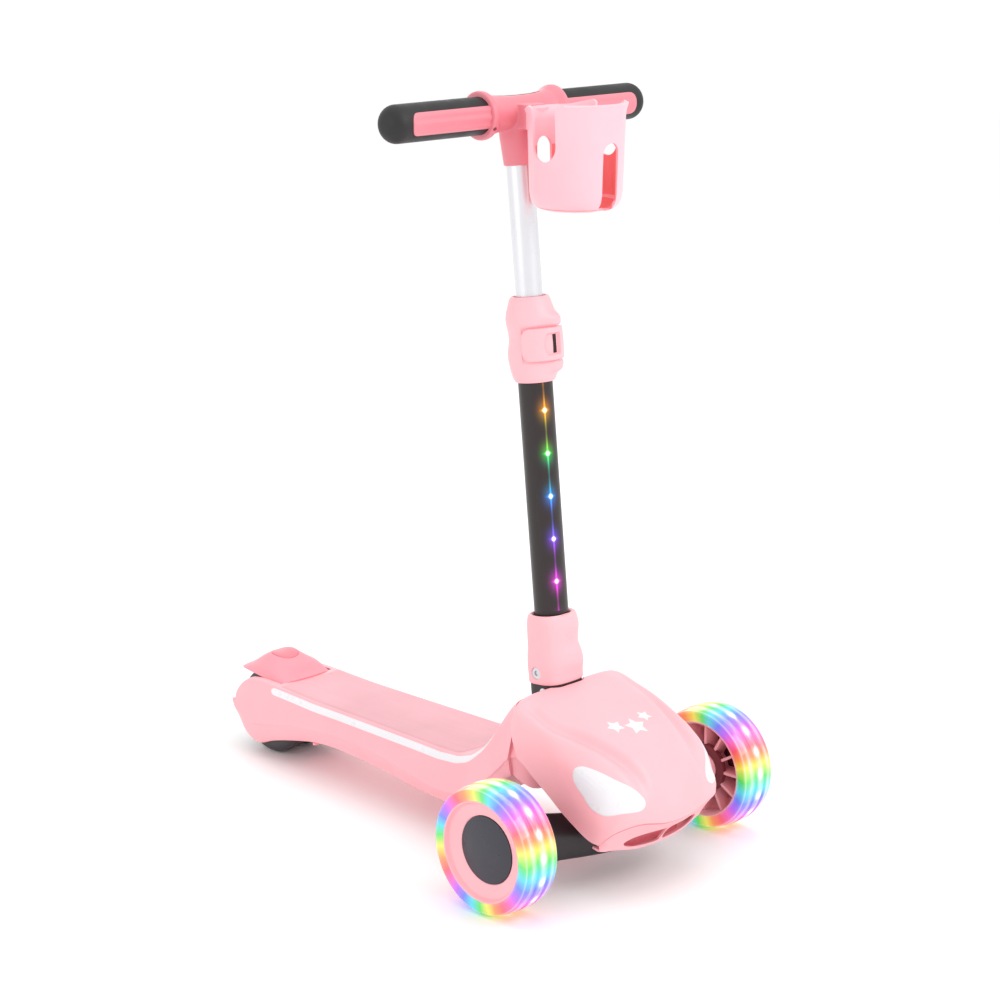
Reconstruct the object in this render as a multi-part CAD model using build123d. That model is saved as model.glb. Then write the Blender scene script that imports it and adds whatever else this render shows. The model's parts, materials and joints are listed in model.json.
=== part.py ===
from build123d import *
import os
from math import cos, radians, sin

# Child's folding kick scooter with two lit front wheels, a pair of rear wheels and lean steering.
# Millimetres.  +X is forward, +Y is the rider's left, +Z is up.  Every piece is drawn in the axle
# frame, whose origin is on the ground below the front axle.  write() moves it by BOX_SHIFT, so the
# finished scooter has its origin at the bottom centre of its own box.

# ---------------------------------------------------------------- driving dimensions
BOX_SHIFT = 206.0            # from the middle of the scooter's length forward to the front axle

FRONT_RADIUS = 60.0          # front tyre
FRONT_WIDTH = 40.0
TRACK = 296.0                # between the middles of the front tyres
REAR_RADIUS = 45.0           # rear tyres
REAR_WIDTH = 27.0
REAR_OFFSET = 16.5           # middle of each rear tyre from the centre plane
WHEELBASE = 457.0

DECK_TOP = 80.0              # standing surface above the ground
SHELL_WALL = 3.0             # moulded shells
SEAM_X = -58.0               # where the deck shell meets the cowl

COLUMN_FOOT = (-66.9, 0.0, 150.0)
COLUMN_TILT = 5.88           # degrees, leaning back
TUBE_RADIUS = 16.0           # black lower tube
TUBE_BORE = 14.5
STEM_RADIUS = 12.5           # aluminium upper tube
STEM_BORE = 11.2
RUNNING = 0.05               # radial clearance of everything that turns or slides on a shaft
SEATED = 0.02                # radial clearance of what is only held

# heights along the column, from its foot
BLOCK_TOP = 15.0             # black hinge block
PIN_HEIGHT = 36.0            # fold pin
TUBE_FOOT = 48.5
SLEEVE_FOOT = 15.4
SLEEVE_LENGTH = 64.5
COLLAR_FOOT = 298.0
COLLAR_TOP = 376.0
LEVER_LOW = 318.0
LEVER_HIGH = 348.0
LEVER_PIVOT = (24.5, 8.0)    # across the column: ahead of it and to its left
HEAD_FOOT = 494.5            # lower end of the T-head's collar
BAR_HEIGHT = 541.8           # handlebar axis
LED_FIRST = 112.0
LED_STEP = 40.0
LED_COUNT = 5
LED_AZIMUTH = -20.0          # degrees round the tube from straight ahead

BAR_HALF = 160.0             # handlebar, centre to end
GRIP_RADIUS = 17.0
GRIP_START = 47.0
CORE_RADIUS = 11.0

CUP_REACH = 75.0             # cup axis ahead of the handlebar axis
CUP_TOP_RADIUS = 46.0
CUP_BASE_RADIUS = 41.5
CUP_DROP = 80.0              # cup floor below the handlebar axis
CUP_RISE = 14.0              # cup rim above the handlebar axis
CUP_WALL = 2.5

STEER_POINT = (2.0, 0.0, 52.0)
STEER_SLOPE = 45.0           # degrees; the steering axis rises towards the front

HALF_PITCH = TRACK / 2
AXLE = (0.0, 0.0, FRONT_RADIUS)
REAR_AXLE = (-WHEELBASE, 0.0, REAR_RADIUS)
BRAKE_PIVOT = (-438.0, 0.0, 78.5)
BAY_HALF = 34.5              # rear wheel bay, to each side
BRAKE_GAP = 1.6              # between the brake shoe and the rear tyres
AXLE_POCKET = 38.5           # floor of the pockets for the rear axle's nuts, from the centre plane
POCKET_RADIUS = 9.05
BRAKE_ROOM = 3.4             # between the inside of the brake pedal and the rear tyres

COLUMN = Pos(*COLUMN_FOOT) * Rot(0, -COLUMN_TILT, 0)
STEER = Pos(*STEER_POINT) * Rot(0, 90 - STEER_SLOPE, 0)
BAR = COLUMN * Pos(0, 0, BAR_HEIGHT) * Rot(0, COLUMN_TILT, 0)   # upright frame on the bar's axis


# ---------------------------------------------------------------- shape helpers
def rod(radius, start, end):
    """Cylinder along Z."""
    return Pos(0, 0, (start + end) / 2) * Cylinder(radius, end - start)


def pipe(bore, radius, start, end):
    return rod(radius, start, end) - rod(bore, start - 1, end + 1)


def cross_rod(radius, start, end):
    """Cylinder along Y."""
    return Rot(-90, 0, 0) * rod(radius, start, end)


def cross_pipe(bore, radius, start, end):
    return Rot(-90, 0, 0) * pipe(bore, radius, start, end)


def block(low, high):
    """Box between two corners."""
    size = [b - a for a, b in zip(low, high)]
    middle = [(a + b) / 2 for a, b in zip(low, high)]
    return Pos(*middle) * Box(*size)


def turned(points):
    """Solid turned about the Y axis from (radius, along the axis) points."""
    return revolve(make_face(Polyline(*points, close=True)), Axis.Y)


def turned_up(points):
    """Solid turned about the Z axis from (radius, height) points."""
    return Rot(90, 0, 0) * turned(points)


def slab(outline, start, end):
    """Outline of (x, z) points with thickness from y = start to y = end."""
    face = Plane.XZ * make_face(Polyline(*outline, close=True))
    return Pos(0, end, 0) * extrude(face, end - start)


def rounded_post(depth, width, corner, start, end):
    """Upright bar of rounded rectangular section: depth along X, width along Y."""
    return Pos(0, 0, start) * extrude(RectangleRounded(depth, width, corner), end - start)


def mirrored(shape):
    return mirror(shape, about=Plane.XZ)


def both_sides(shape):
    return [shape, mirrored(shape)]


def hull_section(x, half):
    """Closed face across the scooter at x, from the (y, z) points of its left half."""
    right = [(-y, z) for y, z in reversed(half) if y > 0]
    plane = Plane(origin=(x, 0, 0), x_dir=(0, 1, 0), z_dir=(1, 0, 0))
    return plane * make_face(Polyline(*half, *right, close=True))


def cap_screw(head, shank, length):
    """Screw along Z with its head above zero and a hexagon socket in it."""
    screw = rod(head, 0, head * 0.7) + rod(shank, -length, 0)
    return screw - Pos(0, 0, head * 0.35) * extrude(RegularPolygon(head * 0.5, 6), head)


def write(name, *shapes):
    solids = [solid for shape in shapes for solid in shape.solids()]
    whole = solids[0] if len(solids) == 1 else Compound(children=solids)
    export_step(Pos(BOX_SHIFT, 0, 0) * whole, f"parts/{name}.step")


# ---------------------------------------------------------------- deck
# (x, crown height, shoulder half width and height, crease half width and height, base half width and height)
DECK_STATIONS = [
    (-503, 74, 37, 74, 43, 40, 40, 22),
    (-457, 82, 40, 82, 50, 34, 46, 10),
    (-400, 81, 42, 81, 54, 48, 49, 29),
    (-330, 80, 43, 80, 55, 56, 49, 40),
    (-250, 80, 45, 80, 59, 55, 53, 38),
    (-175, 80, 47, 80, 65, 48, 59, 34),
    (-140, 86, 46, 84, 67, 50, 61, 36),
    (-122, 98, 45, 92, 68, 56, 62, 42),
    (-106, 117, 44, 105, 69, 64, 64, 50),
    (-92, 137, 44, 127, 70, 74, 66, 62),
    (-76, 154, 50, 150, 71, 86, 67, 74),
    (SEAM_X, 164, 60, 162, 72, 100, 68, 90),
]


def deck_loft(inset, lift):
    """The deck's body, drawn in by inset all round and with its underside lowered by lift."""
    faces = []
    for x, crown, top_half, top, crease_half, crease, base_half, base in DECK_STATIONS:
        half = [(0, crown - inset), (top_half - inset, top - inset), (crease_half - inset, crease),
                (base_half - inset, base - lift)]
        faces.append(hull_section(x, half))
    return loft(faces)


def deck_side_outline():
    """Side view of the deck: round tails about the rear axle, slanted front end."""
    tail = Pos(-WHEELBASE, 0, REAR_RADIUS) * extrude(Plane.XZ * Circle(45), 90, both=True)
    tail &= block((-WHEELBASE - 45, -90, 12), (-WHEELBASE, 90, 90))
    nose = slab([(-WHEELBASE, 0), (-92, 0), (-72, 78), (SEAM_X, 104), (SEAM_X, 170), (-WHEELBASE, 170)],
                -90, 90)
    return tail + nose


def column_opening(gap):
    """Well for the hinge block, through the tops of the shells."""
    return COLUMN * rounded_post(36 + 2 * gap, 46 + 2 * gap, 12, -60, 60)


def wheel_bay(half_width, radius):
    """Slot for the rear wheels, open at the back and underneath."""
    well = Pos(-WHEELBASE, 0, REAR_RADIUS) * cross_rod(radius, -half_width, half_width)
    return well + block((-520, -half_width, -5), (-WHEELBASE, half_width, 120))


def deck_shell():
    shell = deck_loft(0, 0) & deck_side_outline()
    hollow = deck_loft(SHELL_WALL, 20) & block((-398, -90, 0), (0, 90, 200))
    shell -= hollow
    shell -= wheel_bay(BAY_HALF, 49)
    shell -= column_opening(1.5)
    shell -= Pos(*REAR_AXLE) * cross_rod(5 + SEATED, -60, 60)
    shell -= both_sides(Pos(*REAR_AXLE) * cross_rod(POCKET_RADIUS, AXLE_POCKET, 60))
    shell -= Pos(*BRAKE_PIVOT) * cross_rod(2.5 + SEATED, -42.5, 42.5)
    shell -= Pos(*BRAKE_PIVOT) * cross_rod(5, -BAY_HALF - 4.5, BAY_HALF + 4.5)
    shell -= mat_body(0.0, DECK_TOP - 1.2)
    for stripe in side_stripes():
        shell -= stripe
    return shell


def mat_outline(grow):
    """Foot mat seen from above: waisted, with a rounded front end."""
    edge = Spline((-418, 37 + grow), (-360, 38 + grow), (-270, 41 + grow), (-190, 42 + grow),
                  (-155 + grow, 30), (-146 + grow, 0))
    side = [edge, Line((-418, 37 + grow), (-418, 0))]
    half = make_face(side + [Line((-418, 0), (-146 + grow, 0))])
    return half + mirror(half, about=Plane.XZ)


def mat_body(grow, floor):
    """Mat up to just above the deck, following its rise at the front."""
    return Pos(0, 0, floor) * extrude(mat_outline(grow), DECK_TOP + 1.2 - floor)


def deck_mat():
    mat = mat_body(-0.3, DECK_TOP - 1.0)
    ribs = [Pos(-400 + 9 * i, 0, DECK_TOP + 1.2) * Box(1.6, 50, 0.8) for i in range(26)]
    return mat - ribs


def side_stripes():
    """White inlays along both shoulders of the deck."""
    path = [(-432, 41.6), (-350, 43.2), (-260, 45.2), (-175, 47.4), (-140, 46.8), (-112, 45.2)]
    inner = Spline(*path)
    outer = Spline(*[(x, y + 3.6) for x, y in path])
    ends = [Line(path[k], (path[k][0], path[k][1] + 3.6)) for k in (0, -1)]
    band = extrude(make_face([inner, outer] + ends), 70)
    skin = deck_loft(-0.4, 0) - deck_loft(1.0, 20)
    inlay = Pos(0, 0, 55) * band & skin
    return both_sides(max(inlay.solids(), key=lambda solid: solid.volume))


def deck_base():
    """Plate that closes the underside of the deck behind the neck."""
    plate = deck_loft(SHELL_WALL + 0.3, 0) & slab(
        [(-396, 26), (-330, 40), (-250, 38), (-170, 34), (-130, 37), (-130, 42), (-170, 38),
         (-250, 42), (-330, 44), (-396, 34)], -70, 70)
    ribs = [block((-390, y - 1.2, 40), (-150, y + 1.2, 60)) for y in (-24, 24)]
    inside = deck_loft(SHELL_WALL + 1.5, 0) & block((-390, -70, 38), (-150, 70, 60))
    web = [inside & rib for rib in ribs]
    holes = [Pos(x, y, z) * (rod(1.6 + SEATED, 0, 40) + rod(3.05, -40, 0)) for x, y, z in DECK_SCREW_SPOTS]
    return plate + web - holes


# (x, y, height of the seat under each screw's head)
DECK_SCREW_SPOTS = [(x, side * 38, seat) for x, seat in ((-372, 34), (-300, 41.5), (-228, 39), (-156, 36.5))
                    for side in (-1, 1)]


def deck_screws():
    return [Pos(*spot) * Rot(180, 0, 0) * cap_screw(3.0, 1.6, 12) for spot in DECK_SCREW_SPOTS]


# ---------------------------------------------------------------- head of the deck and cowl
def steer_arm(along, reach):
    """Arm that carries one end of the steering pin, seen along the pin's axis."""
    eye = rod(12, along, along + 6)
    bar = block((-reach, -11, along), (0, 11, along + 6))
    return STEER * (eye + bar - rod(5 + SEATED, along - 1, along + 7))


def front_housing():
    """Chassis inside the neck: it carries the hinge block and the steering pin."""
    neck = slab([(-96, 84), (-86, 132), (-43, 137), (-10, 118), (-2, 92), (-22, 80), (-52, 78),
                 (-80, 78)], -24, 24)
    tail = slab([(-200, 46), (-128, 50), (-84, 80), (-84, 100), (-98, 90), (-128, 62), (-200, 56)], -18, 18)
    body = neck + tail + steer_arm(19, 56) + steer_arm(-25, 62)
    lightening = slab([(-84, 92), (-78, 122), (-60, 126), (-30, 108), (-30, 90)], -20, 20)
    return body - lightening


# (x, crown height, crease half width and height, side half width and height, edge half width and height)
COWL_STATIONS = [
    (SEAM_X, 164, 60, 163, 72, 146, 71, 112),
    (-28, 158, 71, 155, 76, 138, 74, 101),
    (6, 151, 62, 145, 77, 122, 75, 80),
    (36, 142, 52, 135, 76, 108, 73, 58),
    (58, 131, 44, 125, 74, 100, 70, 60),
    (74, 116, 36, 112, 64, 96, 62, 72),
    (84, 99, 28, 96, 48, 90, 46, 76),
    (90, 88, 16, 86, 26, 82, 25, 75),
]


def cowl_loft(inset, lift):
    faces = []
    for x, crown, crease_half, crease, side_half, side, edge_half, edge in COWL_STATIONS:
        half = [(0, crown - inset), (crease_half - inset, crease - inset),
                (side_half - inset, side), (edge_half - inset, edge - lift)]
        faces.append(hull_section(x - inset, half))
    return loft(faces)


def headlight(side):
    """Lens let into one front corner of the cowl."""
    leaf = Plane.XZ * make_face(Spline((20, 112), (40, 117), (68, 108), (80, 97), (60, 86), (36, 88),
                                       periodic=True))
    skin = cowl_loft(-0.3, 0) - cowl_loft(1.2, 30)
    lens = (extrude(leaf, 100) if side < 0 else mirrored(extrude(leaf, 100))) & skin
    lens &= block((0, 38, 70), (90, 90, 130)) if side > 0 else block((0, -90, 70), (90, -38, 130))
    return max(lens.solids(), key=lambda solid: solid.volume)


def cowl():
    shell = cowl_loft(0, 0) - cowl_loft(SHELL_WALL, 40)
    shell -= column_opening(1.5)
    shell -= block((SEAM_X - 5, -90, 60), (SEAM_X, 90, 180))
    for side in (-1, 1):
        shell -= headlight(side)
    return max(shell.solids(), key=lambda solid: solid.volume)


# (x, half width) round the bumper's lower and upper edges
BUMPER_LOW = [(30, 66), (48, 66), (57, 55), (61, 33), (62, 0)]
BUMPER_HIGH = [(30, 73), (60, 72), (76, 61), (86, 33), (88, 0)]
BUMPER_FOOT = 40.0
BUMPER_TOP = 80.0


def bumper_loft(inset):
    """Solid between the bumper's two outlines, drawn in by inset."""
    faces = []
    for height, outline in ((BUMPER_FOOT, BUMPER_LOW), (BUMPER_TOP, BUMPER_HIGH)):
        left = [(x - inset, max(y - inset, 0)) for x, y in outline]
        left[0] = (outline[0][0], left[0][1])
        right = [(x, -y) for x, y in reversed(left) if y > 0]
        faces.append(Pos(0, 0, height) * make_face(Polyline(*left, *right, close=True)))
    return loft(faces, ruled=True)


def bumper_grille():
    """Sloping bumper under the cowl's edge, with two air slots and a divider."""
    outer = bumper_loft(0)
    lip = outer - bumper_loft(SHELL_WALL) - block((20, -57, 30), (31, 57, 90))
    floor = outer & block((42, -70, BUMPER_FOOT), (90, 70, BUMPER_FOOT + 2))
    slots = [block((50, y - 19, 46), (95, y + 19, 57)) for y in (-24, 24)]
    body = lip + floor - slots - cowl_loft(-0.3, 0.4)
    return max(body.solids(), key=lambda solid: solid.volume)


# ---------------------------------------------------------------- folding joint
def hinge_base():
    """Black block on the housing, with the post that the column pivots on."""
    body = rounded_post(36, 46, 12, -13, BLOCK_TOP)
    post = block((-9.5, -9, BLOCK_TOP - 1), (9.5, 9, PIN_HEIGHT))
    top = Pos(0, 0, PIN_HEIGHT) * cross_rod(9.5, -9, 9)
    bore = Pos(0, 0, PIN_HEIGHT) * cross_rod(4 + RUNNING, -12, 12)
    seats = [Pos(5, side * 23, 8) * Rot(-90 * side, 0, 0) * rod(4.6, -3, 2) for side in (-1, 1)]
    return COLUMN * (body + post + top - bore - seats)


def side_screws(head, height, face, x):
    """A pair of socket screws, one in each side of the folding joint."""
    for side in (-1, 1):
        place = Pos(x, side * face, height) * Rot(-90 * side, 0, 0)
        yield COLUMN * place * (rod(head, -1.9, 0.6) - rod(head * 0.45, -0.6, 1))


def column_knuckle():
    """Clevis at the foot of the lower tube."""
    cheek = block((-10, 9.4, PIN_HEIGHT), (10, 15.5, TUBE_FOOT - 0.5))
    cheek += Pos(0, 0, PIN_HEIGHT) * cross_rod(10, 9.4, 15.5)
    web = rod(TUBE_RADIUS, TUBE_FOOT - 2, TUBE_FOOT - SEATED) + rod(TUBE_BORE - SEATED, TUBE_FOOT - 2, 76)
    body = web + cheek + mirrored(cheek) - rod(9, 54, 80)
    return COLUMN * (body - Pos(0, 0, PIN_HEIGHT) * cross_rod(4 + SEATED, -20, 20))


def fold_pin():
    return COLUMN * Pos(0, 0, PIN_HEIGHT) * cross_rod(4, -16.5, 16.5)


def lock_sleeve():
    """Wavy pull-up sleeve that covers the folding joint when it is locked."""
    top = SLEEVE_FOOT + SLEEVE_LENGTH
    levels = [(0, 36, 46), (10, 37, 47), (22, 38.5, 48), (33, 36.4, 45.4), (44, 38, 47), (57, 37, 46.4),
              (SLEEVE_LENGTH - 3, 36, 45), (SLEEVE_LENGTH, 33.5, 42)]
    faces = [Pos(0, 0, SLEEVE_FOOT + z) * RectangleRounded(depth, width, 12) for z, depth, width in levels]
    body = loft(faces)
    body -= rounded_post(30.6, 40, 10, SLEEVE_FOOT - 1, top - 7)
    body -= rod(TUBE_RADIUS + RUNNING, 0, top + 1)
    seats = [Pos(-2, side * 23, 26) * Rot(-90 * side, 0, 0) * rod(5.6, -1.9, 3) for side in (-1, 1)]
    return COLUMN * (body - seats)


# ---------------------------------------------------------------- column
def on_tube(azimuth):
    return COLUMN * Rot(0, 0, azimuth)


def led_window():
    start = LED_FIRST - 16
    end = LED_FIRST + (LED_COUNT - 1) * LED_STEP + 18
    return pipe(TUBE_RADIUS - 0.9, TUBE_RADIUS, start, end) & block((0, -3.2, start), (30, 3.2, end))


def outer_tube():
    tube = pipe(TUBE_BORE, TUBE_RADIUS, TUBE_FOOT, COLLAR_TOP - 6)
    return COLUMN * (tube - Rot(0, 0, LED_AZIMUTH) * led_window())


def leds():
    for i in range(LED_COUNT):
        height = LED_FIRST + i * LED_STEP
        yield on_tube(LED_AZIMUTH) * Pos(TUBE_RADIUS - 0.45, 0, height) * Rot(0, 90, 0) * Cylinder(1.3, 0.8)


def led_strip():
    window = on_tube(LED_AZIMUTH) * led_window()
    for led in leds():
        window -= led
    return window


def tube_bush():
    """Plastic guide between the two tubes, at the top of the lower one."""
    sleeve = pipe(STEM_RADIUS + RUNNING, TUBE_BORE - SEATED, COLLAR_TOP - 46, COLLAR_TOP - 5.9)
    flange = pipe(STEM_RADIUS + RUNNING, TUBE_RADIUS - 0.4, COLLAR_TOP - 5.98, COLLAR_TOP - 4)
    return COLUMN * (sleeve + flange)


def collar_body():
    return turned_up([(16 + SEATED, COLLAR_FOOT), (17.5, COLLAR_FOOT), (21, COLLAR_FOOT + 7),
                      (23.6, COLLAR_FOOT + 23), (21.6, COLLAR_FOOT + 34), (21.6, COLLAR_FOOT + 43),
                      (23.6, COLLAR_FOOT + 54), (20.5, COLLAR_FOOT + 68), (17.6, COLLAR_TOP),
                      (15.4, COLLAR_TOP), (15.4, COLLAR_TOP - 4), (16 + SEATED, COLLAR_TOP - 4)])


def clamp_collar():
    """Split collar with two ears at the front for the clamp lever."""
    px, py = LEVER_PIVOT
    ears = Pos(px - 3, py - 1, 0) * (rod(6.2, LEVER_HIGH + 0.5, LEVER_HIGH + 14))
    ears += block((12, 0, LEVER_HIGH + 0.5), (px - 3, 12, LEVER_HIGH + 14))
    ears += Pos(px - 3, py - 1, 0) * rod(6.2, LEVER_LOW - 9, LEVER_LOW - 0.5)
    ears += block((12, 0, LEVER_LOW - 9), (px - 3, 12, LEVER_LOW - 0.5))
    body = collar_body() + ears - rod(TUBE_RADIUS + SEATED, COLLAR_FOOT - 1, COLLAR_TOP - 4)
    body -= rod(15.4, COLLAR_TOP - 5, COLLAR_TOP + 1)
    body -= pipe(20.2, 40, LEVER_LOW - 0.5, LEVER_HIGH + 0.5) & block((0, -40, 300), (40, 18, 360))
    slit = block((14, -1.0, COLLAR_FOOT - 1), (40, 1.0, COLLAR_TOP + 1))
    body -= slit
    return COLUMN * (body - Pos(px, py, 0) * rod(2 + SEATED, 300, 370))


def lever_pin():
    px, py = LEVER_PIVOT
    return COLUMN * Pos(px, py, 0) * rod(2, LEVER_LOW - 4, LEVER_HIGH + 4)


def clamp_lever():
    """Quick-release lever that wraps the front right of the collar."""
    px, py = LEVER_PIVOT
    wrap = pipe(22.0, 28.0, LEVER_LOW, LEVER_HIGH)
    wrap &= Rot(0, 0, -72) * block((0, 0, 300), (40, 40, 360)) + block((8, -8, 300), (40, py, 360))
    wrap &= block((0, -40, 300), (40, py, 360))
    eye = Pos(px, py, 0) * rod(5, LEVER_LOW, LEVER_HIGH)
    bore = Pos(px, py, 0) * rod(2 + RUNNING, 300, 370)
    window = block((15, 1, LEVER_LOW + 8), (40, 5, LEVER_HIGH - 8))
    lever = wrap + eye - bore - window - rod(21.4, 300, 370)
    return COLUMN * max(lever.solids(), key=lambda solid: solid.volume)


# ---------------------------------------------------------------- stem, handlebar and cup
def inner_tube():
    return COLUMN * pipe(STEM_BORE, STEM_RADIUS, 150, BAR_HEIGHT - CORE_RADIUS - 0.5)


def t_head():
    """Moulded T: a waisted cross sleeve with flanged ends and a collar down the stem."""
    cross = BAR * turned([(CORE_RADIUS + SEATED, -48), (21.8, -48), (21.8, -43), (18.6, -38),
                          (17.0, -28), (15.6, -16), (15.6, 16), (17.0, 28), (18.6, 38), (21.8, 43),
                          (21.8, 48), (CORE_RADIUS + SEATED, 48)])
    collar = COLUMN * turned_up([(0, HEAD_FOOT), (14.6, HEAD_FOOT), (16.4, BAR_HEIGHT - 14),
                                 (15.6, BAR_HEIGHT), (0, BAR_HEIGHT)])
    boss = BAR * block((6, -13, -13), (27.5, 13, 8))
    body = cross + collar + boss
    body -= COLUMN * rod(STEM_RADIUS + SEATED, HEAD_FOOT - 1, BAR_HEIGHT - CORE_RADIUS - 0.4)
    body -= BAR * cross_rod(CORE_RADIUS + SEATED, -60, 60)
    body -= BAR * Pos(0, 0, -6) * Rot(0, 90, 0) * rod(1.9, 11, 30)
    for side in (-1, 1):
        body -= BAR * Pos(0, side * 45.5, 0) * cross_rod(GRIP_RADIUS + SEATED, -2.6, 2.6)
    return body


def handlebar():
    return BAR * cross_pipe(CORE_RADIUS - 2, CORE_RADIUS, -BAR_HALF + 10, BAR_HALF - 10)


def grip_profile():
    end = BAR_HALF
    corner = 12.0
    outline = [(CORE_RADIUS + SEATED, GRIP_START - 3.9), (GRIP_RADIUS, GRIP_START - 3.9),
               (GRIP_RADIUS, end - corner)]
    arc = [(GRIP_RADIUS - corner * (1 - cos(a)), end - corner * (1 - sin(a)))
           for a in (radians(18 * k) for k in range(1, 6))]
    return outline + arc + [(0, end), (0, end - 9), (CORE_RADIUS + SEATED, end - 9)]


def inlay(side):
    """Panel let into the front of one grip, rounded at its outer end."""
    shell = cross_pipe(GRIP_RADIUS - 1.6, GRIP_RADIUS, GRIP_START + 1.2, BAR_HALF - 18)
    wedge = slab([(0, 0), (24, -18), (24, 18)], 0, 200)
    panel = shell & wedge
    return BAR * (panel if side > 0 else mirrored(panel))


def grip(side):
    body = turned(grip_profile())
    body = BAR * (body if side > 0 else mirrored(body))
    return body - inlay(side)


def cup_profile(inset):
    """Half section of the cup as (radius, height) points, drawn in by inset."""
    floor = -CUP_DROP + inset
    return [(0, floor), (CUP_BASE_RADIUS - 16 - inset * 0.6, floor),
            (CUP_BASE_RADIUS - 5 - inset, floor + 4), (CUP_BASE_RADIUS - inset, floor + 15),
            (CUP_TOP_RADIUS - 2.5 - inset, CUP_RISE - 7), (CUP_TOP_RADIUS - inset, CUP_RISE),
            (0, CUP_RISE)]


def arch_slot(width, low, high, azimuth):
    """Radial slot through the cup's wall, with round ends."""
    bar = block((20, -width / 2, low), (70, width / 2, high))
    ends = [Pos(0, 0, z) * Rot(0, 90, 0) * rod(width / 2, 20, 70) for z in (low, high)]
    return Rot(0, 0, azimuth) * (bar + ends)


def cup_holder():
    body = turned_up(cup_profile(0)) - turned_up(cup_profile(CUP_WALL))
    for azimuth in (-90, 90):
        body -= arch_slot(27, -22, CUP_RISE + 20, azimuth)
    for azimuth in (0, 180):
        body -= arch_slot(19, -CUP_DROP - 20, -28, azimuth)
    body -= rod(12, -CUP_DROP - 5, -CUP_DROP + 5)
    arm = block((-CUP_REACH + 28.0, -12, -12), (-CUP_TOP_RADIUS + 5, 12, 7))
    body += arm - rod(CUP_TOP_RADIUS - CUP_WALL - 1.5, -20, 20)
    body -= Pos(0, 0, -6) * Rot(0, -90, 0) * (rod(1.9, 20, 80) + rod(3.6, 20, CUP_TOP_RADIUS - 4.1))
    return BAR * Pos(CUP_REACH, 0, 0) * body


def cup_screws():
    screw = Rot(0, 90, 0) * cap_screw(3.4, 1.9 - SEATED, 20)
    return BAR * Pos(CUP_REACH - CUP_TOP_RADIUS + CUP_WALL + 1.6, 0, -6) * screw


# ---------------------------------------------------------------- steering truck
# (y, bottom height, front x, height of the front top edge, height of the back top edge)
BEAM_STATIONS = [(-119, 40, 8, 66, 78), (-80, 27, 9, 58, 72), (-35, 23, 19, 48, 61), (0, 22, 24, 46, 58)]
BEAM_BACK = -12.0


def beam_section(y, bottom, front, front_top, back_top):
    outline = [(BEAM_BACK, bottom + 3), (BEAM_BACK + 6, bottom), (front - 7, bottom), (front, bottom + 7),
               (front, front_top - 4), (front - 5, front_top), (BEAM_BACK + 7, back_top),
               (BEAM_BACK, back_top - 5)]
    plane = Plane(origin=(0, y, 0), x_dir=(1, 0, 0), z_dir=(0, -1, 0))
    return plane * make_face(Polyline(*outline, close=True))


def truck_beam():
    half = [beam_section(*station) for station in BEAM_STATIONS]
    rest = [beam_section(-y, *row) for y, *row in reversed(BEAM_STATIONS[:-1])]
    body = loft(half + rest)
    for along in (12, -42):
        body -= STEER * rod(18, along, along + 30)
    body += STEER * rod(15, -12, 12)
    body -= STEER * rod(5 + RUNNING, -60, 60)
    return body - Pos(*AXLE) * cross_rod(4 + SEATED, -200, 200)


def kingpin():
    head = STEER * extrude(Pos(0, 0, 25.2) * RegularPolygon(8, 6), 5)
    return head + STEER * rod(5, -32, 25.2)


def kingpin_nut():
    nut = STEER * extrude(Pos(0, 0, -31) * RegularPolygon(8, 6), 5.8)
    return nut - STEER * rod(5 + SEATED, -40, 0)


def steering_bushes():
    """Rubber rings on both sides of the beam's eye."""
    for start in (12.2, -18.8):
        yield STEER * turned_up([(5.3, start), (13, start), (14.5, start + 3.3), (13, start + 6.6),
                                 (5.3, start + 6.6)])


# ---------------------------------------------------------------- wheels
def front_axles():
    """Shouldered stub axles with a nut on the outer end."""
    stub = cross_rod(4, 86, HALF_PITCH + 10.4) + cross_rod(7, 119.2, HALF_PITCH - 14.4)
    stub += cross_rod(6.5, HALF_PITCH + 8.3, HALF_PITCH + 10.4)
    return both_sides(Pos(*AXLE) * stub)


def tyre(radius, width, seat, corner, groove):
    """Tyre turned about Y, with two round grooves that leave three ribs."""
    half = width / 2
    face = Pos((radius + seat) / 2, 0) * Rectangle(radius - seat, width)
    crown = [vertex for vertex in face.vertices() if vertex.X > seat + 1]
    face = fillet(crown, corner)
    for y in (-groove, groove):
        face -= Pos(radius + 0.9, y) * Circle(2.2)
    face -= [Pos(seat, y) * Rectangle(2, 2) for y in (-half, half)]
    return revolve(face, Axis.Y)


def front_tyre():
    return tyre(FRONT_RADIUS, FRONT_WIDTH, 46.5, 9.5, 6.5)


RIM_RADIUS = 46.48
CAP_RADIUS = 31.2


def front_hub():
    """Dished wheel centre: rim, outer disc, bearing boss and twelve spokes behind the disc."""
    rim = cross_pipe(43.4, RIM_RADIUS, -16, 16)
    disc = turned([(13, 6.5), (31.4, 7.5), (44, 11.5), (44, 15.2), (32.2, 11.2), (31.6, 10.7), (13, 10.7)])
    boss = cross_pipe(6, 15, -14, 8.5)
    spoke = block((14, -8, -1.3), (44, 9, 1.3))
    spokes = [Rot(0, 30 * i, 0) * spoke for i in range(12)]
    hub = rim + disc + boss + spokes
    for start, end in ((-14.1, -7), (1, 12)):
        hub -= cross_rod(11, start, end)
    return hub


def bearing_pair(bore, radius, starts, width):
    return [cross_pipe(bore + RUNNING, radius - SEATED, start, start + width) for start in starts]


def hub_cap():
    """Domed cover over the axle nut."""
    dome = [(CAP_RADIUS * k / 6, 14.6 - 3.0 * (k / 6) ** 2) for k in range(7)]
    return turned(dome + [(CAP_RADIUS, 10.75), (13.2, 10.75), (13.2, 11.4), (0, 11.4)])


def light_ring():
    """Magnet and generator ring behind the spokes."""
    return cross_pipe(15.1, 24, -13, -8.2)


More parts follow.
